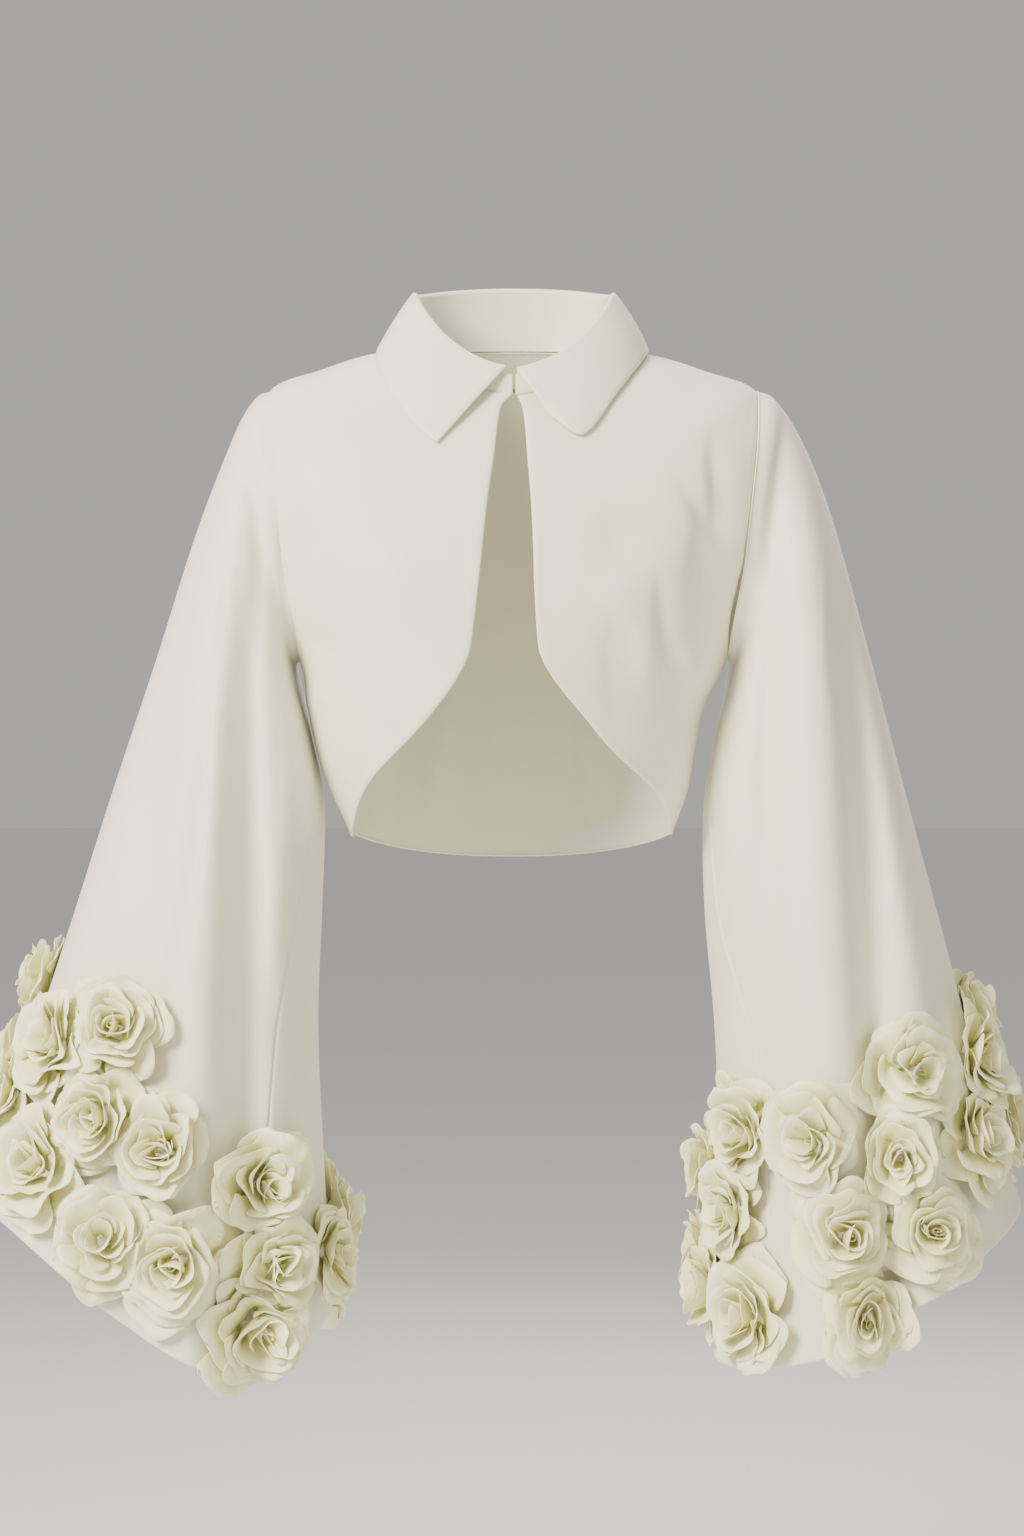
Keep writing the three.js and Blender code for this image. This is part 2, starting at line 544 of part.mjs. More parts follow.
  // One rose: rings of points from the foot over the petals, each as high above the wall as its tier. Only
  // every second point reaches the full radius, so the petals are rounded scallops.
  rose(name, seat, foot, reach) {
    const base = this.clearance(seat, foot, reach);
    const position = [];
    const put = (p) => position.push(this.side * p.x, p.y, p.z);
    ROSE_PROFILE.forEach((ring) => {
      for (let k = 0; k < ROSE_POINTS; k++) {
        const turn = (2 * Math.PI * k) / ROSE_POINTS;
        const wave = k % 2 ? ring.scallop : 0;
        const far = reach(turn) * ring.share * (1 - wave);
        const lift = base + ring.lift * (1 - wave);
        put(foot(far * Math.cos(turn), far * Math.sin(turn)).addScaledVector(seat.axis, lift));
      }
    });
    put(foot(0, 0).addScaledVector(seat.axis, base));
    put(foot(0, 0).addScaledVector(seat.axis, base + ROSE_HEART));
    const [under, heart] = [ROSE_PROFILE.length * ROSE_POINTS, ROSE_PROFILE.length * ROSE_POINTS + 1];
    const index = [];
    for (let k = 0; k < ROSE_POINTS; k++) {
      const next = (k + 1) % ROSE_POINTS;
      for (let tier = 0; tier < ROSE_PROFILE.length - 1; tier++) {
        const [a, b] = [tier * ROSE_POINTS, (tier + 1) * ROSE_POINTS];
        index.push(a + k, a + next, b + next, a + k, b + next, b + k);
      }
      const top = (ROSE_PROFILE.length - 1) * ROSE_POINTS;
      index.push(under, next, k, heart, top + k, top + next);
    }
    return solid(name, PETAL, position, index);
  }
}

const outward = (degrees) => {
  const radial = vector(Math.sin(radians(degrees)), -Math.cos(radians(degrees)), 0);
  return radial.normalize();
};

// The columns round the neck are those of the panels that the collar is sewn to.
function neckTurns(end) {
  const front = stations(9).slice(1).map((u) => lerp(edgeAngle("left", 0), 90, u));
  const rear = stations(18).slice(1).map((u) => lerp(90, 270, u));
  const other = stations(9).slice(1, -1).map((u) => lerp(270, 360 - edgeAngle("right", 0), u));
  return [end, ...front, ...rear, ...other, 360 - end];
}

// Collar stand: a band from just above the neckline up to the fold.
function collarStand() {
  const [first, ...rest] = neckTurns(STAND_END);
  const turns = [first, LEAF_END, ...rest.slice(0, -1), 360 - LEAF_END, 360 - STAND_END];
  const rise = vector(0, 0, 1.6 * SEAM);
  const outer = stations(2).map((v) => turns.map((turn) => bodyPoint(turn, 0).add(rise).lerp(onRing(FOLD, turn), v)));
  const inner = outer.map((row) => row.map((p, i) => p.clone().addScaledVector(outward(turns[i]), -CLOTH)));
  return wall("collar_stand", IVORY, outer, inner);
}

// Collar leaf: rolls over the stand's top edge and falls outside it to an edge that lies on the body.
function collarLeaf() {
  const turns = neckTurns(LEAF_END);
  const surface = (turn, place) => {
    const fold = onRing(FOLD, turn);
    const side = turn <= 180 ? "left" : "right";
    const share = (Math.min(turn, 360 - turn) - LEAF_END) / (180 - LEAF_END);
    const edgeTurn = lerp(LEAF_TIP[side], 180, share);
    const ring = column(LEAF_EDGE, side, share);
    const signed = turn <= 180 ? edgeTurn : 360 - edgeTurn;
    const edge = bodyPoint(signed, ring).addScaledVector(bodyNormal(signed, ring), LEAF_LIFT);
    const rolled = LEAF_ROLL.map((row) => fold.clone().addScaledVector(outward(turn), row.out).add(vector(0, 0, row.up)));
    const fall = [0.35, 0.7].map((share) =>
      rolled.at(-1).clone().lerp(edge, share).addScaledVector(outward(turn), 10 * share * (1 - share)),
    );
    const path = [...rolled, ...fall, edge];
    const clamped = THREE.MathUtils.clamp(place, 0, path.length - 1);
    const i = Math.min(Math.floor(clamped), path.length - 2);
    return path[i].clone().lerp(path[i + 1], clamped - i);
  };
  const places = Array.from({ length: LEAF_ROLL.length + 3 }, (_, i) => i);
  const outer = places.map((place) => turns.map((turn) => surface(turn, place)));
  const inner = places.map((place, j) =>
    turns.map((turn, i) => outer[j][i].clone().addScaledVector(normalOf(surface, turn, place, 1, 0.5, 1), -CLOTH)),
  );
  return wall("collar_leaf", IVORY, outer, inner);
}

// Hook and eye just behind the ends of the stand: a wire loop on the left, and a flat hook that passes
// through it from the right.
function closure() {
  const y = -FOLD.front + CLOTH + CLOSURE.behind;
  const eye = new THREE.Mesh(new THREE.TorusGeometry(CLOSURE.eye, CLOSURE.wire, 6, 14), STEEL);
  eye.name = "closure_eye";
  eye.position.set(CLOSURE.eye, y, CLOSURE.z);
  eye.rotation.x = Math.PI / 2;
  const { hookLong, hookThick, hookWide } = CLOSURE;
  const bend = hookThick + CLOSURE.wire + SEAM;
  const side = new THREE.Shape();
  side.moveTo(-hookLong, -bend);
  side.lineTo(CLOSURE.wire, -bend);
  side.absarc(CLOSURE.wire, 0, bend, -Math.PI / 2, Math.PI / 2, false);
  side.lineTo(-hookLong / 3, bend);
  side.lineTo(-hookLong / 3, bend - hookThick);
  side.lineTo(CLOSURE.wire, bend - hookThick);
  side.absarc(CLOSURE.wire, 0, bend - hookThick, Math.PI / 2, -Math.PI / 2, true);
  side.lineTo(-hookLong, hookThick - bend);
  const geometry = new THREE.ExtrudeGeometry(side, { depth: hookWide / 2, bevelEnabled: false, curveSegments: 5 });
  const hook = new THREE.Mesh(geometry, STEEL);
  hook.name = "closure_hook";
  hook.position.set(0, y, CLOSURE.z - hookWide / 4);
  return [eye, hook];
}

const jacket = new THREE.Group();
jacket.name = "cropped_jacket";
const leftSleeve = new Sleeve("left", 1, LEFT_SECTIONS, LEFT_FLUTES);
const rightSleeve = new Sleeve("right", -1, RIGHT_SECTIONS, RIGHT_FLUTES);
jacket.add(back(), ...fronts(), collarStand(), collarLeaf(), ...closure());
jacket.add(...leftSleeve.meshes(LEFT_ROSES), ...rightSleeve.meshes(RIGHT_ROSES));

export default jacket;
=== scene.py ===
"""A cropped jacket in heavy ivory crepe with cloth roses round both cuffs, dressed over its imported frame.

Every table is in millimetres, in the frame of the solids: +Z up, +X to the wearer's left, the front to -Y.
The meshes are made in metres, and every finished object sits at the origin.
"""

import logging
import math
from dataclasses import dataclass, field
from enum import Enum
from typing import Callable, Sequence

import bpy
import numpy as np
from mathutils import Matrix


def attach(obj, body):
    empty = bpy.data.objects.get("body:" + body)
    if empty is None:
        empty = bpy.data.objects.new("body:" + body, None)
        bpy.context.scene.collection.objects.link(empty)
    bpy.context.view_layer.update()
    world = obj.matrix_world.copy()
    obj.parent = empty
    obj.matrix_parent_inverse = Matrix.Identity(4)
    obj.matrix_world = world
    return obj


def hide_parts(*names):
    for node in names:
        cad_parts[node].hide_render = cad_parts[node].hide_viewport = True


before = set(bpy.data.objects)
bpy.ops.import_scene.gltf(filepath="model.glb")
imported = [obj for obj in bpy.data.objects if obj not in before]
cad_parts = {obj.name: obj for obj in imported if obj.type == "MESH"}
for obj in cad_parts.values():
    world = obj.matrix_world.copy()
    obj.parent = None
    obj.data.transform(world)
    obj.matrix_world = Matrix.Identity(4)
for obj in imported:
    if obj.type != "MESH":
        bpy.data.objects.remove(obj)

log = logging.getLogger("jacket")

MM = 0.001
CLOTH = 1.5  # thickness of a cloth wall
PETAL = 0.4  # thickness of a petal
SEAM = 0.3  # gap between two pieces that are sewn together
SQUARE = 0.87  # roundness of the body's rings: 1 is an ellipse, less is squarer
RIM_PROUD = 0.3  # share of its thickness by which a wall's edge is rounded outwards
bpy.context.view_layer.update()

Array = np.ndarray


# Numbers and curves


class Table:
    """Rows of named columns, read smoothly at any place between them."""

    def __init__(self, columns: str, rows: Sequence[Sequence[float]]) -> None:
        """Keeps the rows by column.

        Args:
            columns: Names of the columns, the first of which is the place.
            rows: One row of numbers for each place, in rising order.
        """
        values = np.array(rows, dtype=float)
        self.names = columns.split()[1:]
        self.at = values[:, 0]
        self.columns = {name: values[:, i + 1] for i, name in enumerate(self.names)}

    def read(self, name: str, at: Array | float) -> Array:
        """Reads one column as a cubic through its rows, and straight on past its ends.

        Args:
            name: The column.
            at: The places to read it at.

        Returns:
            The column's values there.
        """
        at = np.asarray(at, dtype=float)
        rows, place = self.columns[name], self.at
        last = len(place) - 1
        before = np.maximum(np.arange(last + 1) - 1, 0)
        after = np.minimum(np.arange(last + 1) + 1, last)
        slope = (rows[after] - rows[before]) / (place[after] - place[before])
        i = np.clip(np.searchsorted(place, at, side="left") - 1, 0, last - 1)
        span = place[i + 1] - place[i]
        t = np.clip((at - place[i]) / span, 0, 1)
        value = hermite(rows[i], rows[i + 1], slope[i] * span, slope[i + 1] * span, t)
        value = value + slope[0] * np.minimum(at - place[0], 0)
        return value + slope[last] * np.maximum(at - place[last], 0)


def hermite(start: Array, end: Array, slope_start: Array, slope_end: Array, t: Array) -> Array:
    """Cubic between two values with given slopes.

    Args:
        start: Value at share 0.
        end: Value at share 1.
        slope_start: Slope at share 0.
        slope_end: Slope at share 1.
        t: Shares from 0 to 1.

    Returns:
        The values at the shares.
    """
    t2, t3 = t * t, t * t * t
    from_start = (2 * t3 - 3 * t2 + 1) * start + (t3 - 2 * t2 + t) * slope_start
    return from_start + (3 * t2 - 2 * t3) * end + (t3 - t2) * slope_end


def smooth(value: Array, low: float, high: float) -> Array:
    """Soft step from 0 at low to 1 at high."""
    t = np.clip((value - low) / (high - low), 0, 1)
    return t * t * (3 - 2 * t)


def bump(value: Array, width: float) -> Array:
    """Bell of height 1 round zero."""
    return np.exp(-((value / width) ** 2))


def unit(vectors: Array) -> Array:
    """The same directions with length 1."""
    return vectors / np.maximum(np.linalg.norm(vectors, axis=-1, keepdims=True), 1e-9)


def edged(count: int, near: Sequence[float] = (0.004, 0.009, 0.017, 0.03)) -> Array:
    """Shares from 0 to 1 that crowd at both ends, where seams and rims need them.

    Args:
        count: Number of even steps between the crowded ends.
        near: Shares of the extra places beside each end.

    Returns:
        The rising shares.
    """
    middle = np.linspace(near[-1], 1 - near[-1], count + 1)
    return np.concatenate([[0], near[:-1], middle, 1 - np.array(near[:-1])[::-1], [1]])


def grid_normals(points: Array, loop: bool = False) -> Array:
    """Outward normals of a grid of points, whose columns may close in a loop.

    Args:
        points: Rows by columns by 3.
        loop: Whether the last column meets the first.

    Returns:
        One unit normal for each point.
    """
    if loop:
        across = np.roll(points, -1, axis=1) - np.roll(points, 1, axis=1)
    else:
        across = np.gradient(points, axis=1)
    return unit(np.cross(np.gradient(points, axis=0), across))


def arc(points: Array, axis: int) -> Array:
    """Distance run along one axis of a grid.

    Args:
        points: Rows by columns by 3.
        axis: 0 to run down the columns, 1 to run along the rows.

    Returns:
        The distance of each point from the first row or column.
    """
    steps = np.linalg.norm(np.diff(points, axis=axis), axis=-1)
    start = np.zeros_like(np.take(steps, [0], axis=axis))
    return np.concatenate([start, np.cumsum(steps, axis=axis)], axis=axis)


@dataclass(frozen=True)
class EdgeRelief:
    """Relief beside an edge of cloth: a ridge over what is turned in behind it, and a dip at the edge."""

    ridge: float
    inset: float  # from the edge to the top of the ridge
    spread: float
    dip: float
    reach: float

    def push(self, distance: Array) -> Array:
        """How far it moves the cloth outwards, at distances from the edge."""
        return self.ridge * bump(distance - self.inset, self.spread) - self.dip * bump(distance, self.reach)


TURNED_EDGE = EdgeRelief(0.35, 4, 3.5, 0.45, 0.9)
SEWN_EDGE = EdgeRelief(0.3, 6, 5, 0.5, 1.0)
NECK_EDGE = EdgeRelief(0.2, 5, 4, 0.45, 1.0)
LEAF_EDGE = EdgeRelief(0.3, 4, 3, 0.4, 0.8)
CUFF_EDGE = EdgeRelief(0.35, 5, 4, 0.45, 0.9)
SLEEVE_SEAM = EdgeRelief(0.4, 3.2, 2.0, 1.3, 0.9)


# Finishes

WAVE_PERIOD = 0.314  # scale of a wave texture whose bands repeat once a unit


def srgb(code: str) -> tuple[float, float, float, float]:
    """Turns an sRGB colour linear.

    Args:
        code: A hex value such as #EFECD9.

    Returns:
        Linear red, green, blue and alpha.
    """
    parts = [int(code[i : i + 2], 16) / 255 for i in (1, 3, 5)]
    linear = [c / 12.92 if c <= 0.04045 else ((c + 0.055) / 1.055) ** 2.4 for c in parts]
    return (linear[0], linear[1], linear[2], 1.0)


def add(
    tree: bpy.types.NodeTree, kind: str, links: dict | None = None, **settings: object
) -> bpy.types.Node:
    """Adds a node with its settings and links.

    Args:
        tree: The node tree to add it to.
        kind: The node's type name.
        links: For an input's name or number, the socket that feeds it or the value it is set to.
        settings: Properties of the node itself.

    Returns:
        The new node.
    """
    node = tree.nodes.new(kind)
    for name, value in settings.items():
        setattr(node, name, value)
    for key, value in (links or {}).items():
        socket = node.inputs[key]
        if isinstance(value, bpy.types.NodeSocket):
            tree.links.new(value, socket)
        else:
            socket.default_value = value
    return node


@dataclass(frozen=True)
class Finish:
    """What every finish has: the name of its material and the numbers of its shader."""

    name: str

    def start(self, **values: float) -> tuple[bpy.types.Material, bpy.types.NodeTree, bpy.types.Node]:
        """Makes an empty node material.

        Args:
            values: Constants of the shader, named as its inputs are, with underscores for spaces.

        Returns:
            The material, its tree and its principled shader, already linked to the output.
        """
        material = bpy.data.materials.new(self.name)
        material.use_nodes = True
        tree = material.node_tree
        tree.nodes.clear()
        shader = add(tree, "ShaderNodeBsdfPrincipled")
        add(tree, "ShaderNodeOutputMaterial", {"Surface": shader.outputs["BSDF"]})
        for key, value in values.items():
            shader.inputs[key.replace("_", " ")].default_value = value
        return material, tree, shader


@dataclass(frozen=True)
class Crepe(Finish):
    """One face of the crepe: a tint between two colours, over a relief of grain and ribs."""

    light: str
    shade: str
    ribs: float  # share of the ribs in the relief
    relief_mm: float
    strength: float  # of the relief

    def cover(
        self,
        tree: bpy.types.NodeTree,
        shader: bpy.types.Node,
        tint: tuple[bpy.types.NodeSocket, str, str],
        heights: tuple[bpy.types.NodeSocket, bpy.types.NodeSocket],
    ) -> None:
        """Puts the tint and the relief on the shader.

        Args:
            tree: The material's tree.
            shader: Its principled shader.
            tint: A share from 0 to 1, and the colours at 0 and at 1.
            heights: The heights of the grain and of the ribs.
        """
        share, first, second = tint
        colour = add(
            tree,
            "ShaderNodeMix",
            {"Factor": share, 6: srgb(first), 7: srgb(second)},
            data_type="RGBA",
        )
        relief = add(
            tree,
            "ShaderNodeMix",
            {"Factor": self.ribs, 2: heights[0], 3: heights[1]},
            data_type="FLOAT",
        )
        height = {"Height": relief.outputs["Result"], "Distance": self.relief_mm * MM}
        bent = add(tree, "ShaderNodeBump", {"Strength": self.strength, **height})
        tree.links.new(colour.outputs[2], shader.inputs["Base Color"])
        tree.links.new(bent.outputs["Normal"], shader.inputs["Normal"])


@dataclass(frozen=True)
class SatinBackCrepe(Crepe):
    """Polyester satin-back crepe, worn smooth side out: a soft broad gloss over a very fine pebble."""

    name: str = "satin_back_crepe"
    light: str = "#EFECD9"
    shade: str = "#E6E3CA"
    ribs: float = 0.3
    relief_mm: float = 0.12
    strength: float = 0.35
    cloud_mm: float = 90.0  # size of the faint clouds of tint
    pebble_mm: float = 1.1  # the real grain is 0.3 mm, drawn coarser so that it shows
    thread_mm: float = 1.6  # the real threads are 0.2 mm apart, drawn coarser so that they show

    def build(self) -> bpy.types.Material:
        """Makes the material.

        Returns:
            The material, ready to be put on a mesh.
        """
        material, tree, shader = self.start(
            Roughness=0.5, Sheen_Weight=0.25, Sheen_Roughness=0.45, Specular_IOR_Level=0.35
        )
        place = add(tree, "ShaderNodeTexCoord").outputs
        cloud_scale, pebble_scale = 1 / (self.cloud_mm * MM), 1 / (self.pebble_mm * MM)
        cloud = add(
            tree,
            "ShaderNodeTexNoise",
            {"Vector": place["Object"], "Scale": cloud_scale, "Detail": 3.0, "Roughness": 0.5},
        )
        pebble = add(
            tree,
            "ShaderNodeTexNoise",
            {"Vector": place["UV"], "Scale": pebble_scale, "Detail": 2.0, "Roughness": 0.6},
        )
        thread_scale = WAVE_PERIOD / (self.thread_mm * MM)
        threads = add(
            tree,
            "ShaderNodeTexWave",
            {"Vector": place["UV"], "Scale": thread_scale, "Distortion": 3.0, "Detail": 2.0},
            bands_direction="DIAGONAL",
        )
        tint = (cloud.outputs["Fac"], self.light, self.shade)
        self.cover(tree, shader, tint, (pebble.outputs["Fac"], threads.outputs["Fac"]))
        return material


@dataclass(frozen=True)
class PetalCrepe(Crepe):
    """The same crepe cut and heat-set into petals, matt side up, with painted shade: darker and greener where
    it lies deep in a flower.
    """

    name: str = "heat_set_petal_crepe"
    # light is the colour out at the rims; shade is painted shade, laid deep in the flower.
    light: str = "#FDFAD2"
    shade: str = "#E2E09E"
    ribs: float = 0.2
    relief_mm: float = 0.9
    strength: float = 0.5
    crinkle_mm: float = 5.0  # size of the crinkles that the heat leaves
    vein_mm: float = 1.5  # the real ribs are 0.5 mm apart, drawn coarser so that they show

    def build(self) -> bpy.types.Material:
        """Makes the material.

        Returns:
            The material, ready to be put on a mesh.
        """
        material, tree, shader = self.start(
            Roughness=0.72, Sheen_Weight=0.2, Sheen_Roughness=0.5, Specular_IOR_Level=0.25
        )
        place = add(tree, "ShaderNodeTexCoord").outputs
        # The rose's own attribute is 0 in its heart and at the petals' roots and 1 at their rims; the shade
        # colour laid towards 0 is painted shade for the depth of the flower.
        recess_shade_share = add(tree, "ShaderNodeAttribute", attribute_name="openness")
        crinkle_scale, vein_scale = 1 / (self.crinkle_mm * MM), WAVE_PERIOD / (self.vein_mm * MM)
        crinkle = add(
            tree,
            "ShaderNodeTexNoise",
            {"Vector": place["Object"], "Scale": crinkle_scale, "Detail": 3.0, "Roughness": 0.55},
        )
        veins = add(
            tree,
            "ShaderNodeTexWave",
            {"Vector": place["UV"], "Scale": vein_scale, "Distortion": 5.0, "Detail": 2.0},
        )
        tint = (recess_shade_share.outputs["Fac"], self.shade, self.light)
        self.cover(tree, shader, tint, (crinkle.outputs["Fac"], veins.outputs["Fac"]))
        return material


@dataclass(frozen=True)
class NickelledWire(Finish):
    """Nickel-plated brass wire, drawn smooth: a bright metal with a few rubbed spots."""

    name: str = "nickelled_wire"
    bright: str = "#C9C8C2"
    rubbed: str = "#A39E92"
    spots_per_m: float = 900.0

    def build(self) -> bpy.types.Material:
        """Makes the material.

        Returns:
            The material, ready to be put on a mesh.
        """
        material, tree, shader = self.start(Metallic=1.0, Roughness=0.28)
        place = add(tree, "ShaderNodeTexCoord").outputs
        spots = add(
            tree, "ShaderNodeTexNoise", {"Vector": place["Object"], "Scale": self.spots_per_m, "Detail": 2.0}
        )
        tint = add(
            tree,
            "ShaderNodeMix",
            {"Factor": spots.outputs["Fac"], 6: srgb(self.bright), 7: srgb(self.rubbed)},
            data_type="RGBA",
        )
        tree.links.new(tint.outputs[2], shader.inputs["Base Color"])
        return material


@dataclass(frozen=True)
class PaintedFloor(Finish):
    """A smooth studio floor in matt paint."""

    name: str = "painted_floor"
    paint: str = "#EFEFEF"

    def build(self) -> bpy.types.Material:
        """Makes the material.

        Returns:
            The material, ready to be put on a mesh.
        """
        material, _, shader = self.start(Roughness=0.85)
        shader.inputs["Base Color"].default_value = srgb(self.paint)
        return material


# Meshes


def make_object(
    name: str,
    points: Array,
    faces: Sequence[Sequence[int]] | Array,
    uvs: Array | None,
    material: bpy.types.Material,
    attributes: dict[str, Array] | None = None,
) -> bpy.types.Object:
    """Makes a smooth-shaded object at the origin from points in millimetres.

    Args:
        name: The object's name.
        points: One row for each vertex.
        faces: Vertex numbers of each face.
        uvs: One pair for each vertex, or nothing.
        material: Its only material.
        attributes: Named numbers, one for each vertex.

    Returns:
        The object, linked to the scene.
    """
    mesh = bpy.data.meshes.new(name)
    mesh.from_pydata((points * MM).tolist(), [], faces.tolist() if isinstance(faces, np.ndarray) else faces)
    if uvs is not None:
        corners = np.empty(len(mesh.loops), dtype=np.int32)
        mesh.loops.foreach_get("vertex_index", corners)
        layer = mesh.uv_layers.new(name="cloth")
        layer.data.foreach_set("uv", uvs[corners].astype(np.float32).ravel())
    for key, values in (attributes or {}).items():
        mesh.attributes.new(key, "FLOAT", "POINT").data.foreach_set("value", values.astype(np.float32))
    mesh.polygons.foreach_set("use_smooth", np.ones(len(mesh.polygons), dtype=bool))
    mesh.materials.append(material)
    mesh.update()
    obj = bpy.data.objects.new(name, mesh)
    bpy.context.scene.collection.objects.link(obj)
    return obj


def shell(
    outer: Array, thickness: float, loop: bool = False, inward: Array | None = None
) -> tuple[Array, Array, Array]:
    """Closes a grid of outer points into a wall of cloth with rounded edges.

    Args:
        outer: Rows by columns by 3, seen from outside.
        thickness: Of the wall, inwards.
        loop: Whether the columns close in a ring.
        inward: Directions of the wall's thickness, or nothing for the grid's own normals.

    Returns:
        The points, the faces and a pair of distances along the cloth for each point.
    """
    rows, cols = outer.shape[:2]
    into = -grid_normals(outer, loop) if inward is None else inward
    inner = outer + into * thickness
    number = np.arange(rows * cols).reshape(rows, cols)
    run = np.stack([arc(outer, 1), arc(outer, 0)], axis=-1) * MM
    points, uvs = [outer.reshape(-1, 3), inner.reshape(-1, 3)], [run.reshape(-1, 2)] * 2
    cells: list[Array] = []

    def quads(a: Array, b: Array) -> None:
        """Joins two lines of vertices of equal length."""
        cells.append(np.stack([a[:-1], b[:-1], b[1:], a[1:]], axis=-1))

    def closed(line: Array) -> Array:
        """Repeats the first vertex of a ring at its end."""
        return np.append(line, line[0]) if loop else line

    back = number + rows * cols
    for j in range(rows - 1):
        quads(closed(number[j]), closed(number[j + 1]))
        quads(closed(back[j + 1]), closed(back[j]))
    # A line of points halfway through the wall stands proud of the edge and rounds it.
    rim = (outer + inner) / 2
    total = 2 * rows * cols
    edges = [(number[0], back[0], rim[0] - rim[1]), (number[-1], back[-1], rim[-1] - rim[-2])]
    if not loop:
        edges.append((number[:, 0], back[:, 0], rim[:, 0] - rim[:, 1]))
        edges.append((number[:, -1], back[:, -1], rim[:, -1] - rim[:, -2]))
    turned = (False, True, True, False)
    corner_points: dict[int, int] = {}
    for (front, rear, away), flip in zip(edges, turned):
        proud = rim.reshape(-1, 3)[front] + unit(away) * thickness * RIM_PROUD
        middle = []
        for k, vertex in enumerate(front):
            if vertex in corner_points:
                middle.append(corner_points[vertex])
                continue
            corner_points[vertex] = total
            points.append(proud[k][None])
            uvs.append(run.reshape(-1, 2)[vertex][None])
            middle.append(total)
            total += 1
        first, second, third = closed(front), closed(np.array(middle)), closed(rear)
        if flip:
            quads(first, second), quads(second, third)
        else:
            quads(second, first), quads(third, second)
    return np.concatenate(points), np.concatenate(cells), np.concatenate(uvs)


# Form of the body

CREASE_BOW = 0.16  # how far a crease bows to one side, as a share of its length
STEEP, GENTLE = 0.75, 1.5  # widths of a crease's two walls, as shares of its own width


class Face(Enum):
    """A side of the garment that a fold or crease belongs to."""

    FRONT = "front"
    BACK = "back"


@dataclass(frozen=True)
class Crease:
    """A soft trough (below zero) or ridge between two places seen from the front."""

    x0: float
    z0: float
    x1: float
    z1: float
    width: float
    depth: float
    face: Face = Face.FRONT

    def push(self, points: Array) -> Array:
        """How far it moves each point outwards.

        Args:
            points: Places on the cloth, with x, y and z in the last axis.

        Returns:
            One distance for each place, below zero in a trough.
        """
        start, run = np.array([self.x0, self.z0]), np.array([self.x1 - self.x0, self.z1 - self.z0])
        length = np.linalg.norm(run)
        offset = points[..., [0, 2]] - start
        along = offset @ run / length**2
        # It bows a little, is deepest near its middle and widens as it dies out, and one wall is the steeper.
        bow = CREASE_BOW * length * along * (1 - along)
        across = offset @ np.array([run[1], -run[0]]) / length - bow
        width = self.width * (0.8 + 0.5 * np.clip(along, 0, 1)) * np.where(across > 0, STEEP, GENTLE)
        taper = smooth(along, -0.12, 0.46) * (1 - smooth(along, 0.46, 1.14))
        return self.depth * bump(across, width) * taper


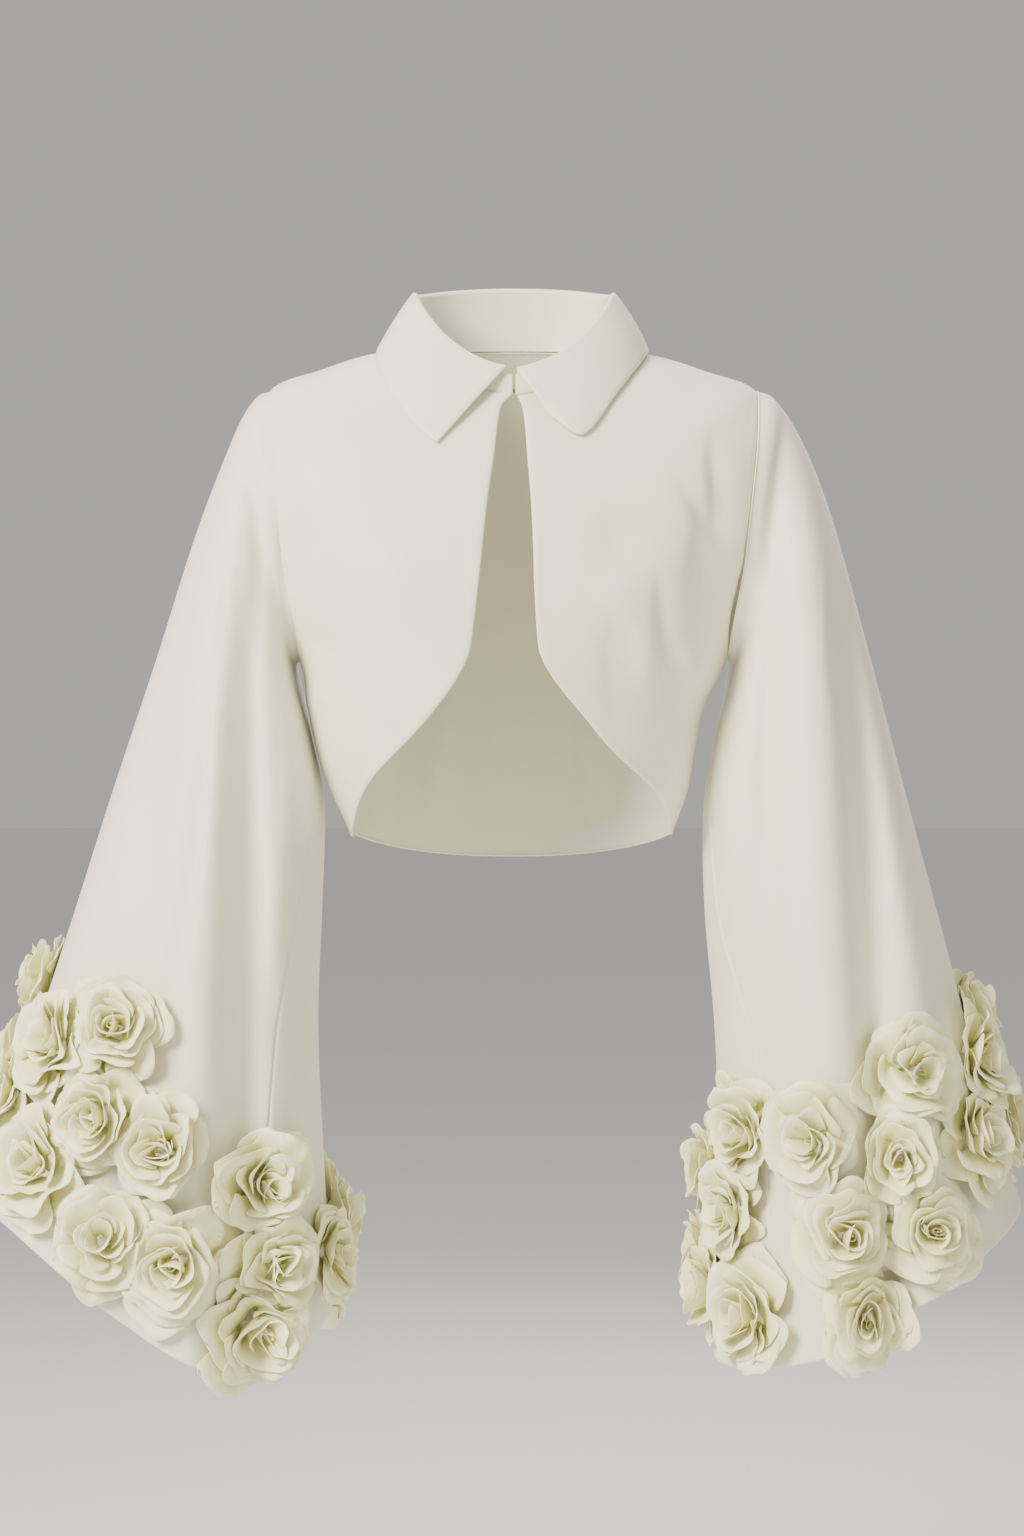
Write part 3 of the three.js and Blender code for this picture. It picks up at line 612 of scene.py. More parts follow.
@dataclass
class BodyForm:
    """The rings that the body of the jacket is cut over, and the armhole on them."""

    rings: Table = field(
        default_factory=lambda: Table(
            "at half front back z_front z_side z_back",
            [
                (0, 76, 74, 60, -38, 6, 16),
                (1, 112, 84, 72, -60, 2, -2),
                (2, 150, 95, 86, -88, -10, -28),
                (3, 188, 106, 98, -120, -25, -66),
                (4, 208, 115, 105, -153, -64, -108),
                (5, 200, 121, 108, -187, -142, -158),
                (6, 166, 123, 107, -230, -232, -232),
                (7, 153, 121, 102.5, -270, -272, -275),
                (8, 142.5, 116, 95, -320, -322, -332),
                (9, 123.5, 108, 88, -370, -370, -390),
            ],
        )
    )
    armhole_top: float = 3
    armhole_bottom: float = 6
    front_reach: float = 33
    back_reach: float = 30
    hem: float = 9
    # Below the armholes the body hangs to the wearer's right, and its hem comes partly back.
    sway: float = 6
    sway_back: float = 4.5
    sway_ring: float = 7.1
    # How late a ring falls from the height of its sides to that of its front and of its back.
    front_fall: float = 1.6
    back_fall: float = 1.4

    def ring(self, sizes: dict[str, Array], degrees: Array) -> Array:
        """Points on rings of given sizes.

        Args:
            sizes: The half width, the depths and the heights of each ring.
            degrees: Angles from centre front over the wearer's left.

        Returns:
            One point for each angle.
        """
        angle = np.radians(degrees)
        sin, cos = np.sin(angle), np.cos(angle)
        x = sizes["half"] * np.sign(sin) * np.abs(sin) ** SQUARE
        depth, ahead = np.abs(cos) ** SQUARE, cos >= 0
        fall = 0.8 * np.abs(cos) ** self.front_fall + 0.2 * (1 - np.abs(sin))
        y = np.where(ahead, -sizes["front"], sizes["back"]) * depth
        z_front = sizes["z_side"] + (sizes["z_front"] - sizes["z_side"]) * fall
        z_back = sizes["z_side"] + (sizes["z_back"] - sizes["z_side"]) * np.abs(cos) ** self.back_fall
        return np.stack(np.broadcast_arrays(x, y, np.where(ahead, z_front, z_back)), axis=-1)

    def point(self, degrees: Array, at: Array | float) -> Array:
        """Points of the form.

        Args:
            degrees: Angles from centre front.
            at: Rings, whole or between two.

        Returns:
            One point for each angle and ring.
        """
        degrees, at = np.asarray(degrees, dtype=float), np.asarray(at, dtype=float)
        points = self.ring({name: self.rings.read(name, at) for name in self.rings.names}, degrees)
        points[..., 0] += self.sway_back * smooth(at, self.sway_ring, self.hem)
        points[..., 0] -= self.sway * smooth(at, self.armhole_bottom, self.sway_ring)
        return points

    def normal(self, degrees: Array, at: Array | float) -> Array:
        """Outward normals of the form.

        Args:
            degrees: Angles from centre front.
            at: Rings, whole or between two.

        Returns:
            One direction for each angle and ring.
        """
        degrees, at = np.asarray(degrees, dtype=float), np.asarray(at, dtype=float)
        round_ = self.point(degrees + 1, at) - self.point(degrees - 1, at)
        down = self.point(degrees, at + 0.05) - self.point(degrees, at - 0.05)
        return unit(np.cross(down, round_))

    def armhole_ring(self, degrees: Array) -> Array:
        """Ring that the armhole crosses, for an angle round it from the shoulder over the front."""
        middle = (self.armhole_top + self.armhole_bottom) / 2
        return middle - (self.armhole_bottom - middle) * np.cos(np.radians(degrees))

    def armhole_place(self, degrees: Array) -> tuple[Array, Array]:
        """Where the armhole's edge lies on the form.

        Args:
            degrees: Angles round the armhole, from the shoulder over the front.

        Returns:
            The form's angles and rings there.
        """
        sin = np.sin(np.radians(degrees))
        reach = np.where(sin >= 0, self.front_reach, self.back_reach)
        return 90 - reach * sin, self.armhole_ring(degrees)

    def armhole_cut(self, at: Array, reach: float) -> Array:
        """How many degrees the armhole cuts off a ring.

        Args:
            at: Rings, whole or between two.
            reach: Degrees that it cuts off at its middle.

        Returns:
            The degrees cut off each ring.
        """
        middle = (self.armhole_top + self.armhole_bottom) / 2
        share = (at - middle) / (self.armhole_bottom - middle)
        return reach * np.sqrt(np.clip(1 - share * share, 0, 1))


FORM = BodyForm()
FRONT_EDGE = Table(
    "at right left",
    [
        (0, 2.5, 2.5),
        (0.4, 9.5, 6),
        (1, 12.5, 8),
        (2, 15.5, 10),
        (3, 20, 12.5),
        (4, 23.5, 14),
        (5, 27, 15),
        (6, 32.5, 18),
        (6.25, 35.2, 22.3),
        (6.5, 38.4, 29.6),
        (6.75, 42.6, 38.6),
        (7, 49.3, 48.6),
        (7.25, 59, 59),
        (7.5, 71, 69),
        (7.75, 85, 80.5),
        (8, 98.5, 94),
        (8.25, 108.5, 107.5),
        (8.5, 115, 116),
        (8.75, 119.5, 120.5),
        (9, 122.8, 123.2),
    ],
)


def edge_angle(side: str, at: Array | float) -> Array:
    """Angle at which a front edge meets a ring."""
    share = FRONT_EDGE.read(side, at) / FORM.rings.read("half", at)
    return np.degrees(np.arcsin(np.clip(share, 0, 1) ** (1 / SQUARE)))


def panel_rows() -> Array:
    """Rings of a panel's rows.

    Returns:
        Rising rings, crowded at the neckline, the armhole's ends and the hem.
    """
    shoulder = np.concatenate([[0, 0.012, 0.03, 0.06], np.linspace(0.12, 2.94, 28)])
    armhole = FORM.armhole_ring(np.linspace(0, 180, 50))
    side = np.concatenate([np.linspace(6.06, 8.86, 38), [8.92, 8.96, 8.985, 9]])
    return np.concatenate([shoulder, armhole, side])


# Pieces of cloth


@dataclass
class Cloth:
    """One cut piece: the flat size and the area it was cut from, and the parts that all of them share."""

    node: str
    flat: tuple[float, float]
    area: float

    def wall(
        self, outer: Array, cloth: bpy.types.Material, loop: bool = False, inward: Array | None = None
    ) -> bpy.types.Object:
        """Makes the piece from its outer points, with the settings of shell()."""
        made, faces, uvs = shell(outer, CLOTH, loop, inward)
        return make_object(self.node + "_cloth", made, faces, uvs, cloth)

    def dress(self, obj: bpy.types.Object, on: Sequence[bpy.types.Object] = ()) -> bpy.types.Object:
        """Puts the finished piece in place of its solid and logs how many faces it has.

        Args:
            obj: The finished mesh.
            on: Separate pieces that are sewn on it; not used.

        Returns:
            The same object.
        """
        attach(obj, "root")
        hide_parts(self.node)
        log.info("%s: %d faces", obj.name, len(obj.data.polygons))
        return obj


@dataclass
class Panel(Cloth):
    """A front or the back, between two angles that change from ring to ring."""

    cols: int
    start: Callable[[Array], Array]
    end: Callable[[Array], Array]
    seam_y: float
    free_edges: tuple[bool, bool]
    creases: tuple[Crease, ...]

    def build(self, cloth: bpy.types.Material) -> bpy.types.Object:
        """Makes the panel's mesh.

        Args:
            cloth: The material it is made of.

        Returns:
            The mesh as an object.
        """
        rows, shares = panel_rows(), edged(self.cols)
        at = rows[:, None] + 0 * shares
        angle = self.start(rows)[:, None] * (1 - shares) + self.end(rows)[:, None] * shares
        points = FORM.point(angle, at)
        normals = FORM.normal(angle, at)
        points[..., 1] += self.seam_y
        push = sum((crease.push(points) for crease in self.creases), np.zeros(at.shape))
        across, down = arc(points, 1), arc(points, 0)
        from_start, from_end = across, across[:, -1:] - across
        from_top, from_hem = down, down[-1:] - down
        # Sewn edges sink into their seam, and the seam's allowance behind them shows as a faint ridge.
        for away, free in ((from_start, self.free_edges[0]), (from_end, self.free_edges[1])):
            push += (TURNED_EDGE if free else SEWN_EDGE).push(away)
        push += NECK_EDGE.push(from_top) + TURNED_EDGE.push(from_hem)
        points = points + normals * push[..., None]
        return self.wall(points, cloth)


@dataclass
class CollarStand(Cloth):
    """The band from just above the neckline up to the fold."""

    end: float = 0.6  # angle of its two ends from centre front
    rise: float = 0.48  # gap over the neckline
    height: float = 45
    bow: float = 0.9  # how far it stands out between its seam and its fold
    sink: float = 0.5  # how far its lower edge sinks into the seam
    fold: dict[str, float] = field(
        default_factory=lambda: {
            "half": 76,
            "front": 71,
            "back": 60,
            "z_front": -22,
            "z_side": 47,
            "z_back": 62,
        }
    )

    def build(self, cloth: bpy.types.Material) -> bpy.types.Object:
        """Makes the stand's mesh.

        Args:
            cloth: The material it is made of.

        Returns:
            The mesh as an object.
        """
        turns = self.end + (360 - 2 * self.end) * edged(170, (0.0012, 0.003, 0.006, 0.011))
        shares = edged(12, (0.02, 0.05, 0.09, 0.14))[:, None]
        base = FORM.point(turns, 0.0) + np.array([0, 0, self.rise])
        top = FORM.ring(self.fold, turns)
        angle = np.radians(turns)
        outward = np.stack([np.sin(angle), -np.cos(angle), 0 * turns], axis=-1)
        points = base * (1 - shares[..., None]) + top * shares[..., None]
        points = points + outward * (self.bow * np.sin(np.pi * shares))[..., None]
        points = points - outward * (self.sink * bump(shares * self.height, 1.4))[..., None]
        return self.wall(points, cloth, inward=np.broadcast_to(-outward, points.shape))


@dataclass
class CollarLeaf(Cloth):
    """The pointed leaf that rolls over the stand and lies on the body."""

    stand: CollarStand
    # Angles from centre front at which it starts on the fold, and at which its points lie.
    end: dict[str, float] = field(default_factory=lambda: {"right": 4, "left": 1.2})
    tips: dict[str, float] = field(default_factory=lambda: {"right": 19.4, "left": 11})
    lift: float = 3.6  # of its outer edge over the body
    belly: float = 10  # how far it bows out as it falls
    falls: tuple[float, ...] = (0.35, 0.7)  # places in the fall that it is led through
    # Rings of the outer edge: the right point is sharp, and the left one is cut off short.
    edge: dict[str, Table] = field(
        default_factory=lambda: {
            "right": Table(
                "at ring",
                [(0, 2.02), (0.06, 1.73), (0.12, 1.46), (0.25, 1.08), (0.45, 0.82), (1, 0.7)],
            ),
            "left": Table(
                "at ring",
                [
                    (0, 1.0),
                    (0.0133, 1.29),
                    (0.0222, 1.5),
                    (0.0311, 1.65),
                    (0.0414, 1.73),
                    (0.0533, 1.69),
                    (0.068, 1.62),
                    (0.102, 1.4),
                    (0.1405, 1.19),
                    (0.192, 1.02),
                    (0.27, 0.88),
                    (0.45, 0.79),
                    (1, 0.7),
                ],
            ),
        }
    )
    # The roll over the fold: distance out from the stand's face, and height above the fold.
    roll: tuple[tuple[float, float], ...] = ((-1.6, 0.4), (-1.3, 3.2), (1.4, 5.2), (4.4, 3.0))
    # How much of its length is rounded off at each point, and over what share of the way to centre back.
    blunt: dict[str, float] = field(default_factory=lambda: {"right": 0.012, "left": 0.008})
    blunt_run: float = 0.025

    def path(self, turns: Array, side: str) -> Array:
        """The places that the leaf runs through, from inside the fold to its outer edge.

        Args:
            turns: Angles round the neck.
            side: Which side's end and edge are used.

        Returns:
            Places by angles by 3.
        """
        fold = FORM.ring(self.stand.fold, turns)
        angle = np.radians(turns)
        outward = np.stack([np.sin(angle), -np.cos(angle), 0 * turns], axis=-1)
        share = (np.minimum(turns, 360 - turns) - self.end[side]) / (180 - self.end[side])
        edge_turn = self.tips[side] + (180 - self.tips[side]) * share
        ring = self.edge[side].read("ring", share)
        signed = np.where(turns <= 180, edge_turn, 360 - edge_turn)
        edge = FORM.point(signed, ring) + FORM.normal(signed, ring) * self.lift
        rolled = [fold + outward * out + np.array([0, 0, up]) for out, up in self.roll]
        belly = [outward * (self.belly * s * (1 - s)) for s in self.falls]
        fall = [rolled[-1] * (1 - s) + edge * s + out for s, out in zip(self.falls, belly)]
        return np.stack([*rolled, *fall, edge])

    def build(self, cloth: bpy.types.Material) -> bpy.types.Object:
        """Makes the leaf's mesh.

        Args:
            cloth: The material it is made of.

        Returns:
            The mesh as an object.
        """
        first, last = self.end["left"], 360 - self.end["right"]
        near = (0.001, 0.0026, 0.0046, 0.0072, 0.0102, 0.0136, 0.0176, 0.022)
        turns = first + (last - first) * edged(190, near)
        on_left = turns <= 180
        path = np.where(on_left[None, :, None], self.path(turns, "left"), self.path(turns, "right"))
        end = np.where(on_left, self.end["left"], self.end["right"])
        share = (np.minimum(turns, 360 - turns) - end) / (180 - end)
        blunt = np.where(on_left, self.blunt["left"], self.blunt["right"])
        reach = 1 - blunt * np.exp(-share / self.blunt_run)
        place = edged(40, (0.006, 0.014, 0.024, 0.038))[:, None] * reach * (len(path) - 1)
        i = np.clip(place.astype(int), 0, len(path) - 2)
        t = (place - i)[..., None]
        column = np.arange(len(turns))[None, :]
        a, b = path[i, column], path[i + 1, column]
        before = path[np.maximum(i - 1, 0), column]
        after = path[np.minimum(i + 2, len(path) - 1), column]
        points = hermite(a, b, (b - before) / 2, (after - a) / 2, t)
        across, down = arc(points, 1), arc(points, 0)
        ends = np.minimum(across, across[:, -1:] - across)
        push = LEAF_EDGE.push(down[-1:] - down) + LEAF_EDGE.push(ends) * smooth(place, 2.5, 4)
        points = points + grid_normals(points) * push[..., None]
        return self.wall(points, cloth)


@dataclass(frozen=True)
class Flute:
    """A soft vertical fold of a sleeve: its distance from the centre plane at the top and at the cuff."""

    face: Face
    top_x: float
    cuff_x: float
    width: float
    depth: float
    start: float = 0.5
    full: float = 5.0


# Distances from a sleeve's own seam at which its columns crowd, and the number of the other columns.
BESIDE_SEAM = np.array([-7, -4.5, -2.6, -1.4, -0.7, 0, 0.7, 1.4, 2.6, 4.5, 7])
OTHER_COLUMNS = 189


@dataclass
class Sleeve(Cloth):
    """A bell sleeve set into the armhole, drawn on the wearer's left and mirrored by its side."""

    side: int
    sections: Table
    flutes: tuple[Flute, ...]
    creases: tuple[Crease, ...]
    seam: Table
    sag_lean: float  # how far a sag shifts towards the inner edge
    drop: float = 115  # length from one section to the next
    ease: float = 2.0  # how far the cap stands up from the seam over the shoulder
    pucker: float = 0.35
    sink: float = 0.6  # how far its head sinks into the armhole's seam
    gap: float = 1.3 * SEAM  # between its head and the armhole

    @property
    def cuff(self) -> int:
        """Number of the last section."""
        return len(self.sections.at)

    def section(self, number: Array, degrees: Array) -> Array:
        """Points of numbered sections.

        Args:
            number: Whole numbers of sections, where 0 is the armhole.
            degrees: Angles from the outer edge over the front.

        Returns:
            One point for each number and angle.
        """
        angle = np.radians(degrees)
        sin, cos = np.sin(angle), np.cos(angle)
        row = np.clip(number - 1, 0, self.cuff - 1)
        column = {name: values[row] for name, values in self.sections.columns.items()}
        share = (1 + cos) / 2
        x = column["in_x"] + (column["out_x"] - column["in_x"]) * share
        sag = column["sag"] * sin * sin * (1 - self.sag_lean * cos)
        z = column["in_z"] + (column["out_z"] - column["in_z"]) * share - sag
        y = np.where(sin >= 0, -column["front"] * sin, -column["back"] * sin)
        own = np.stack([x, y, z], axis=-1)
        return np.where((number == 0)[..., None], FORM.point(*FORM.armhole_place(degrees)), own)

    def smooth_point(self, degrees: Array, down: Array) -> Array:
        """Points of the sleeve with no flutes.

        Args:
            degrees: Angles from the outer edge over the front.
            down: Sections, whole or between two.

        Returns:
            One point for each angle and section.
        """
        degrees, down = np.asarray(degrees, dtype=float), np.asarray(down, dtype=float)
        degrees, down = np.broadcast_arrays(degrees, down)
        number = np.clip(np.floor(down).astype(int), 0, self.cuff - 1)
        a, b = self.section(number, degrees), self.section(number + 1, degrees)
        before = self.section(np.maximum(number - 1, 0), degrees)
        after = self.section(np.minimum(number + 2, self.cuff), degrees)
        slope_a = (b - before) * np.where(number > 0, 0.5, 1.0)[..., None]
        slope_b = (after - a) * np.where(number + 2 <= self.cuff, 0.5, 1.0)[..., None]
        t = (down - number)[..., None]
        inside = hermite(a, b, slope_a, slope_b, np.minimum(t, 1))
        return inside + slope_b * np.maximum(t - 1, 0)

    def point(self, degrees: Array, down: Array) -> Array:
        """Points of the sleeve's outer face, flutes and all.

        Args:
            degrees: Angles from the outer edge over the front.
            down: Sections, whole or between two.

        Returns:
            One point for each angle and section.
        """
        found = self.smooth_point(degrees, down)
        sin = np.sin(np.radians(np.asarray(degrees, dtype=float)))
        share = np.clip(np.asarray(down) / self.cuff, 0, 1)
        push = np.zeros(found.shape[:-1])
        for flute in self.flutes:
            middle = flute.top_x + (flute.cuff_x - flute.top_x) * share
            facing = (sin >= 0) if flute.face is Face.FRONT else (sin < 0)
            grown = smooth(np.asarray(down), flute.start, flute.full)
            push += facing * flute.depth * grown * bump(found[..., 0] - middle, flute.width)
        found[..., 1] -= np.sign(sin) * push * np.minimum(1, 1.6 * sin * sin)
        return found

    def seat_normal(self, degrees: float, down: float) -> Array:
        """Normal that looks past the flutes.

        Args:
            degrees: Angle from the outer edge over the front.
            down: Section, whole or between two.

        Returns:
            One direction, out of the sleeve.
        """
        round_ = self.point(degrees + 16, down) - self.point(degrees - 16, down)
        along = self.point(degrees, down + 0.2) - self.point(degrees, down - 0.2)
        return unit(np.cross(round_, along))

    def build(self, cloth: bpy.types.Material) -> bpy.types.Object:
        """Makes the sleeve's mesh.

        Args:
            cloth: The material it is made of.

        Returns:
            The mesh as an object.
        """
        rows = self.cuff * np.concatenate(
            [[0, 0.0012, 0.0028, 0.005, 0.008], np.linspace(0.012, 0.988, 128), [0.992, 0.9955, 0.998, 1]]
        )
        # The columns run along the sleeve's own seam, and crowd beside it.
        seam, at = self.seam.read("degrees", rows)[:, None], rows[:, None]
        per_degree = np.linalg.norm(self.point(seam + 1, at) - self.point(seam - 1, at), axis=-1) / 2
        beside = BESIDE_SEAM / per_degree
        shares = np.linspace(0, 1, OTHER_COLUMNS + 2)[1:-1]
        rest = beside[:, -1:] + (360 - 2 * beside[:, -1:]) * shares
        degrees = seam + np.concatenate([beside, rest], axis=1)
        from_seam = np.concatenate([beside, rest * 0 + 90], axis=1) * per_degree
        down = at + 0 * degrees
        points = self.point(degrees, down)
        normals = -grid_normals(points, loop=True)
        from_top = arc(points, 0)
        from_cuff = from_top[-1:] - from_top
        sin, cos = np.sin(np.radians(degrees)), np.cos(np.radians(degrees))
        front = sin >= 0
        push = 0 * down
        for crease in self.creases:
            push += crease.push(points) * (front == (crease.face is Face.FRONT))
        push *= np.minimum(1, 2.5 * np.abs(sin))
        # The cap is eased into the armhole: it stands up from the seam over the shoulder and puckers faintly.
        puckers = self.pucker * np.sin(degrees * 0.9) * bump(from_top - 8, 7)
        push += smooth(cos, -0.3, 0.8) * (self.ease * bump(from_top - 9, 8) + puckers)
        push += SLEEVE_SEAM.push(np.abs(from_seam)) + CUFF_EDGE.push(from_cuff)
        push -= self.sink * bump(from_top, 1.0)
        away = unit(points[1] - points[0])
        points = points + normals * push[..., None]
        points[0] += away * self.gap
        points[..., 0] *= self.side
        if self.side < 0:
            points = points[:, ::-1]
        return self.wall(points[:, ::-1], cloth, loop=True)


# Roses


@dataclass(frozen=True)
class PetalShape:
    """One heat-set petal, lying along +Y from its root at the origin, hollow side up."""

    name: str
    width: float
    length: float
    across: float  # radius of the hollow from side to side
    curl: float  # how far the rim turns back
    ruffle: float  # height of the waves along the rim
    tip: float  # how far the far end is drawn out to a point, or notched
    root: float = 0.42  # width of the root, as a share of the whole
    rise: float = 0.14  # of the far end, as a share of the length
    waves: float = 4.3  # of the rim, for each radian round the petal
    steps: int = 8

    def build(self, material: bpy.types.Material) -> bpy.types.Object:
        """Makes the petal as a thin closed wall.

        Args:
            material: The cloth it is cut from.

        Returns:
            The petal as an object.
        """
        line = np.linspace(-1, 1, self.steps + 1)
        u, v = np.meshgrid(line, line)
        x, y = u * np.sqrt(1 - v * v / 2), v * np.sqrt(1 - u * u / 2)
        far, radius = (y + 1) / 2, np.hypot(x, y)
        rim = smooth(radius, 0.72, 1.0) * smooth(far, 0.25, 0.7)
        # Narrow at the root, broad and softly notched or pointed at the far end.
        x = x * (self.root + (1 - self.root) * smooth(far, 0.0, 0.55))
        px, py = x * self.width / 2, far * self.length
        py = py + self.tip * bump(x, 0.2) * smooth(far, 0.8, 1.0)
        hollow = self.across - np.sqrt(np.maximum(self.across**2 - px**2, 0))
        pz = hollow + self.rise * self.length * far * far - self.curl * rim
        waves = np.sin(self.waves * np.arctan2(px, py + 0.2 * self.length) + self.width)
        pz = pz + self.ruffle * smooth(radius, 0.4, 1) * waves
        made, faces, uvs = shell(np.stack([px, py, pz], axis=-1)[::-1], PETAL)
        # Painted shade: each petal is tinted darker towards its root, where it lies deep in the flower.
        walls = np.tile(smooth(far[::-1].ravel(), 0.2, 1.0), 2)
        openness = np.concatenate([walls, np.ones(len(made) - len(walls))])
        return make_object(self.name, made, faces, uvs, material, {"openness": openness})


@dataclass(frozen=True)
class Tier:
    """One ring of petals: how many, how far out and up their roots are, and how steeply they stand."""

    petal: str
    count: int
    root: float
    lift: float
    stand: float
    follow: float = 0  # how much of a rose's own closing it follows


@dataclass(frozen=True)
class Flower:
    """A kind of heart, a rolled strip, with the tiers of petals round it."""

    turns: float  # half turns of the strip
    pitch: float  # how far it winds outwards with each radian
    height: float
    tiers: tuple[Tier, ...]


ROLLED = Flower(
    3.2,
    0.33,
    15.0,
    (
        Tier("petal_broad", 3, 11.0, 0.4, 3),
        Tier("petal_skirt", 5, 9.2, 1.6, 11, 0.4),
        Tier("petal_open", 5, 8.0, 3.0, 25, 0.8),
        Tier("petal_half", 4, 6.2, 4.2, 42, 1),
        Tier("petal_cup", 4, 4.6, 5.0, 60, 0.8),
        Tier("petal_wrap", 3, 2.9, 5.4, 76, 0.4),
    ),
)
LOOSE = Flower(
    1.6,
    0.2,
    9.5,
    (
        Tier("petal_broad", 2, 11.0, 0.4, 4),
        Tier("petal_skirt", 6, 9.5, 1.4, 9, 0.4),
        Tier("petal_skirt", 4, 8.2, 3.2, 22, 0.6),
        Tier("petal_open", 5, 6.4, 4.4, 37, 0.6),
        Tier("petal_fold", 5, 4.4, 5.0, 52, 0.5),
        Tier("petal_fold", 3, 2.6, 5.4, 66, 0.3),
    ),
)

# What the rose tree is told of each tier, and the type of the socket that takes it.
TIER_INPUTS = {
    "Petal": "Object",
    "Count": "Int",
    "Root": "Float",
    "Lift": "Float",
    "Stand": "Float",
    "Start": "Float",
}


@dataclass
class RoseMaker:
    """Arranges petals in tiers by Geometry Nodes."""

    petals: tuple[PetalShape, ...] = (
        PetalShape("petal_broad", 45, 36, 50, 2.2, 1.8, 1.6),
        PetalShape("petal_skirt", 43, 31, 42, 2.0, 1.5, 1.2),
        PetalShape("petal_open", 39, 29, 27, 1.8, 1.2, -1.4),
        PetalShape("petal_half", 34, 27, 19.5, 1.5, 0.9, 1.0),
        PetalShape("petal_cup", 28, 24.5, 15, 1.2, 0.8, -0.8),
        PetalShape("petal_wrap", 21, 22, 11.2, 0.8, 0.5, 0.6),
        PetalShape("petal_fold", 23, 22, 12.4, 1.2, 0.9, 1.2),
    )
    # The kinds of rose: what each is arranged like, and how many degrees more closed it is.
    kinds: tuple[tuple[Flower, float], ...] = (
        (ROLLED, 0),
        (LOOSE, 6),
        (ROLLED, -5),
        (LOOSE, 9),
        (ROLLED, 4),
        (LOOSE, -6),
    )
    seed: int = 11
    seed_step: int = 17  # from one kind of rose to the next
    start_step: float = 0.55  # radians by which each tier starts round from the last
    # Ranges that each petal's turn, stand, sideways lean, width and length are drawn from.
    drift: tuple[float, float] = (-0.26, 0.26)
    tilt: tuple[float, float] = (-0.2, 0.16)
    slant: tuple[float, float] = (-0.2, 0.36)
    widths: tuple[float, float] = (0.86, 1.14)
    lengths: tuple[float, float] = (0.84, 1.1)

    def heart(self, material: bpy.types.Material, flower: Flower, phase: float) -> bpy.types.Object:
        """A strip rolled up in the middle of a rose.

        Args:
            material: The cloth it is cut from.
            flower: How it is wound.
            phase: Where the waves of its upper edge start, in radians.

        Returns:
            The strip as an object.
        """
        turn = np.linspace(0, flower.turns * np.pi, 28)
        radius = 0.8 + flower.pitch * turn
        height = np.linspace(0, 1, 5)[:, None]
        lean = 1 + 0.25 * height * height
        x, y = radius * np.cos(turn) * lean, radius * np.sin(turn) * lean
        z = 6 + (flower.height - 0.28 * turn + 0.9 * np.sin(2.3 * turn + phase)) * height
        made, faces, uvs = shell(np.stack([x, y, z], axis=-1)[::-1], PETAL)
        # Painted shade: the heart is tinted darker than the petals' rims all over, and darkest at its foot.
        walls = np.tile(np.repeat(height[::-1, 0], len(turn)) * 0.45, 2)
        openness = np.concatenate([walls, np.full(len(made) - len(walls), 0.4)])
        return make_object("rose_heart", made, faces, uvs, material, {"openness": openness})

    def tree(self, tiers: int) -> bpy.types.NodeTree:
        """Builds the node tree that sets petals round each tier.

        Args:
            tiers: How many tiers it has inputs for.

        Returns:
            The tree, whose inputs are named for the tier that they belong to.
        """
        tree = bpy.data.node_groups.new("rose_tiers", "GeometryNodeTree")
        face = tree.interface
        face.new_socket("Heart", in_out="INPUT", socket_type="NodeSocketGeometry")
        face.new_socket("Rose", in_out="OUTPUT", socket_type="NodeSocketGeometry")
        face.new_socket("Seed", in_out="INPUT", socket_type="NodeSocketInt")
        face.new_socket("Cloth", in_out="INPUT", socket_type="NodeSocketMaterial")
        for i in range(tiers):
            for name, kind in TIER_INPUTS.items():
                face.new_socket(f"{name} {i}", in_out="INPUT", socket_type=f"NodeSocket{kind}")
        given = add(tree, "NodeGroupInput").outputs
        join = add(tree, "GeometryNodeJoinGeometry")
        tree.links.new(given["Heart"], join.inputs[0])
        number = add(tree, "GeometryNodeInputIndex").outputs[0]
        for i in range(tiers):
            own = {name: given[f"{name} {i}"] for name in TIER_INPUTS}
            ring = add(tree, "GeometryNodeMeshCircle", {"Vertices": own["Count"], "Radius": own["Root"]})
            up = add(tree, "ShaderNodeCombineXYZ", {"Z": own["Lift"]})
            lifted = add(
                tree, "GeometryNodeSetPosition", {"Geometry": ring.outputs["Mesh"], "Offset": up.outputs[0]}
            )
            start = add(tree, "ShaderNodeCombineXYZ", {"Z": own["Start"]})
            turned = add(
                tree, "GeometryNodeTransform", {"Geometry": lifted.outputs[0], "Rotation": start.outputs[0]}
            )
            petal = add(tree, "GeometryNodeObjectInfo", {"Object": own["Petal"]})

            def scattered(bounds: tuple[float, float], salt: int) -> bpy.types.NodeSocket:
                """A random number for each petal of this tier."""
                mixed = add(
                    tree, "ShaderNodeMath", {0: given["Seed"], 1: float(100 * i + salt)}, operation="ADD"
                )
                return add(
                    tree,
                    "FunctionNodeRandomValue",
                    {"Min": bounds[0], "Max": bounds[1], "Seed": mixed.outputs[0]},
                    data_type="FLOAT",
                ).outputs[1]

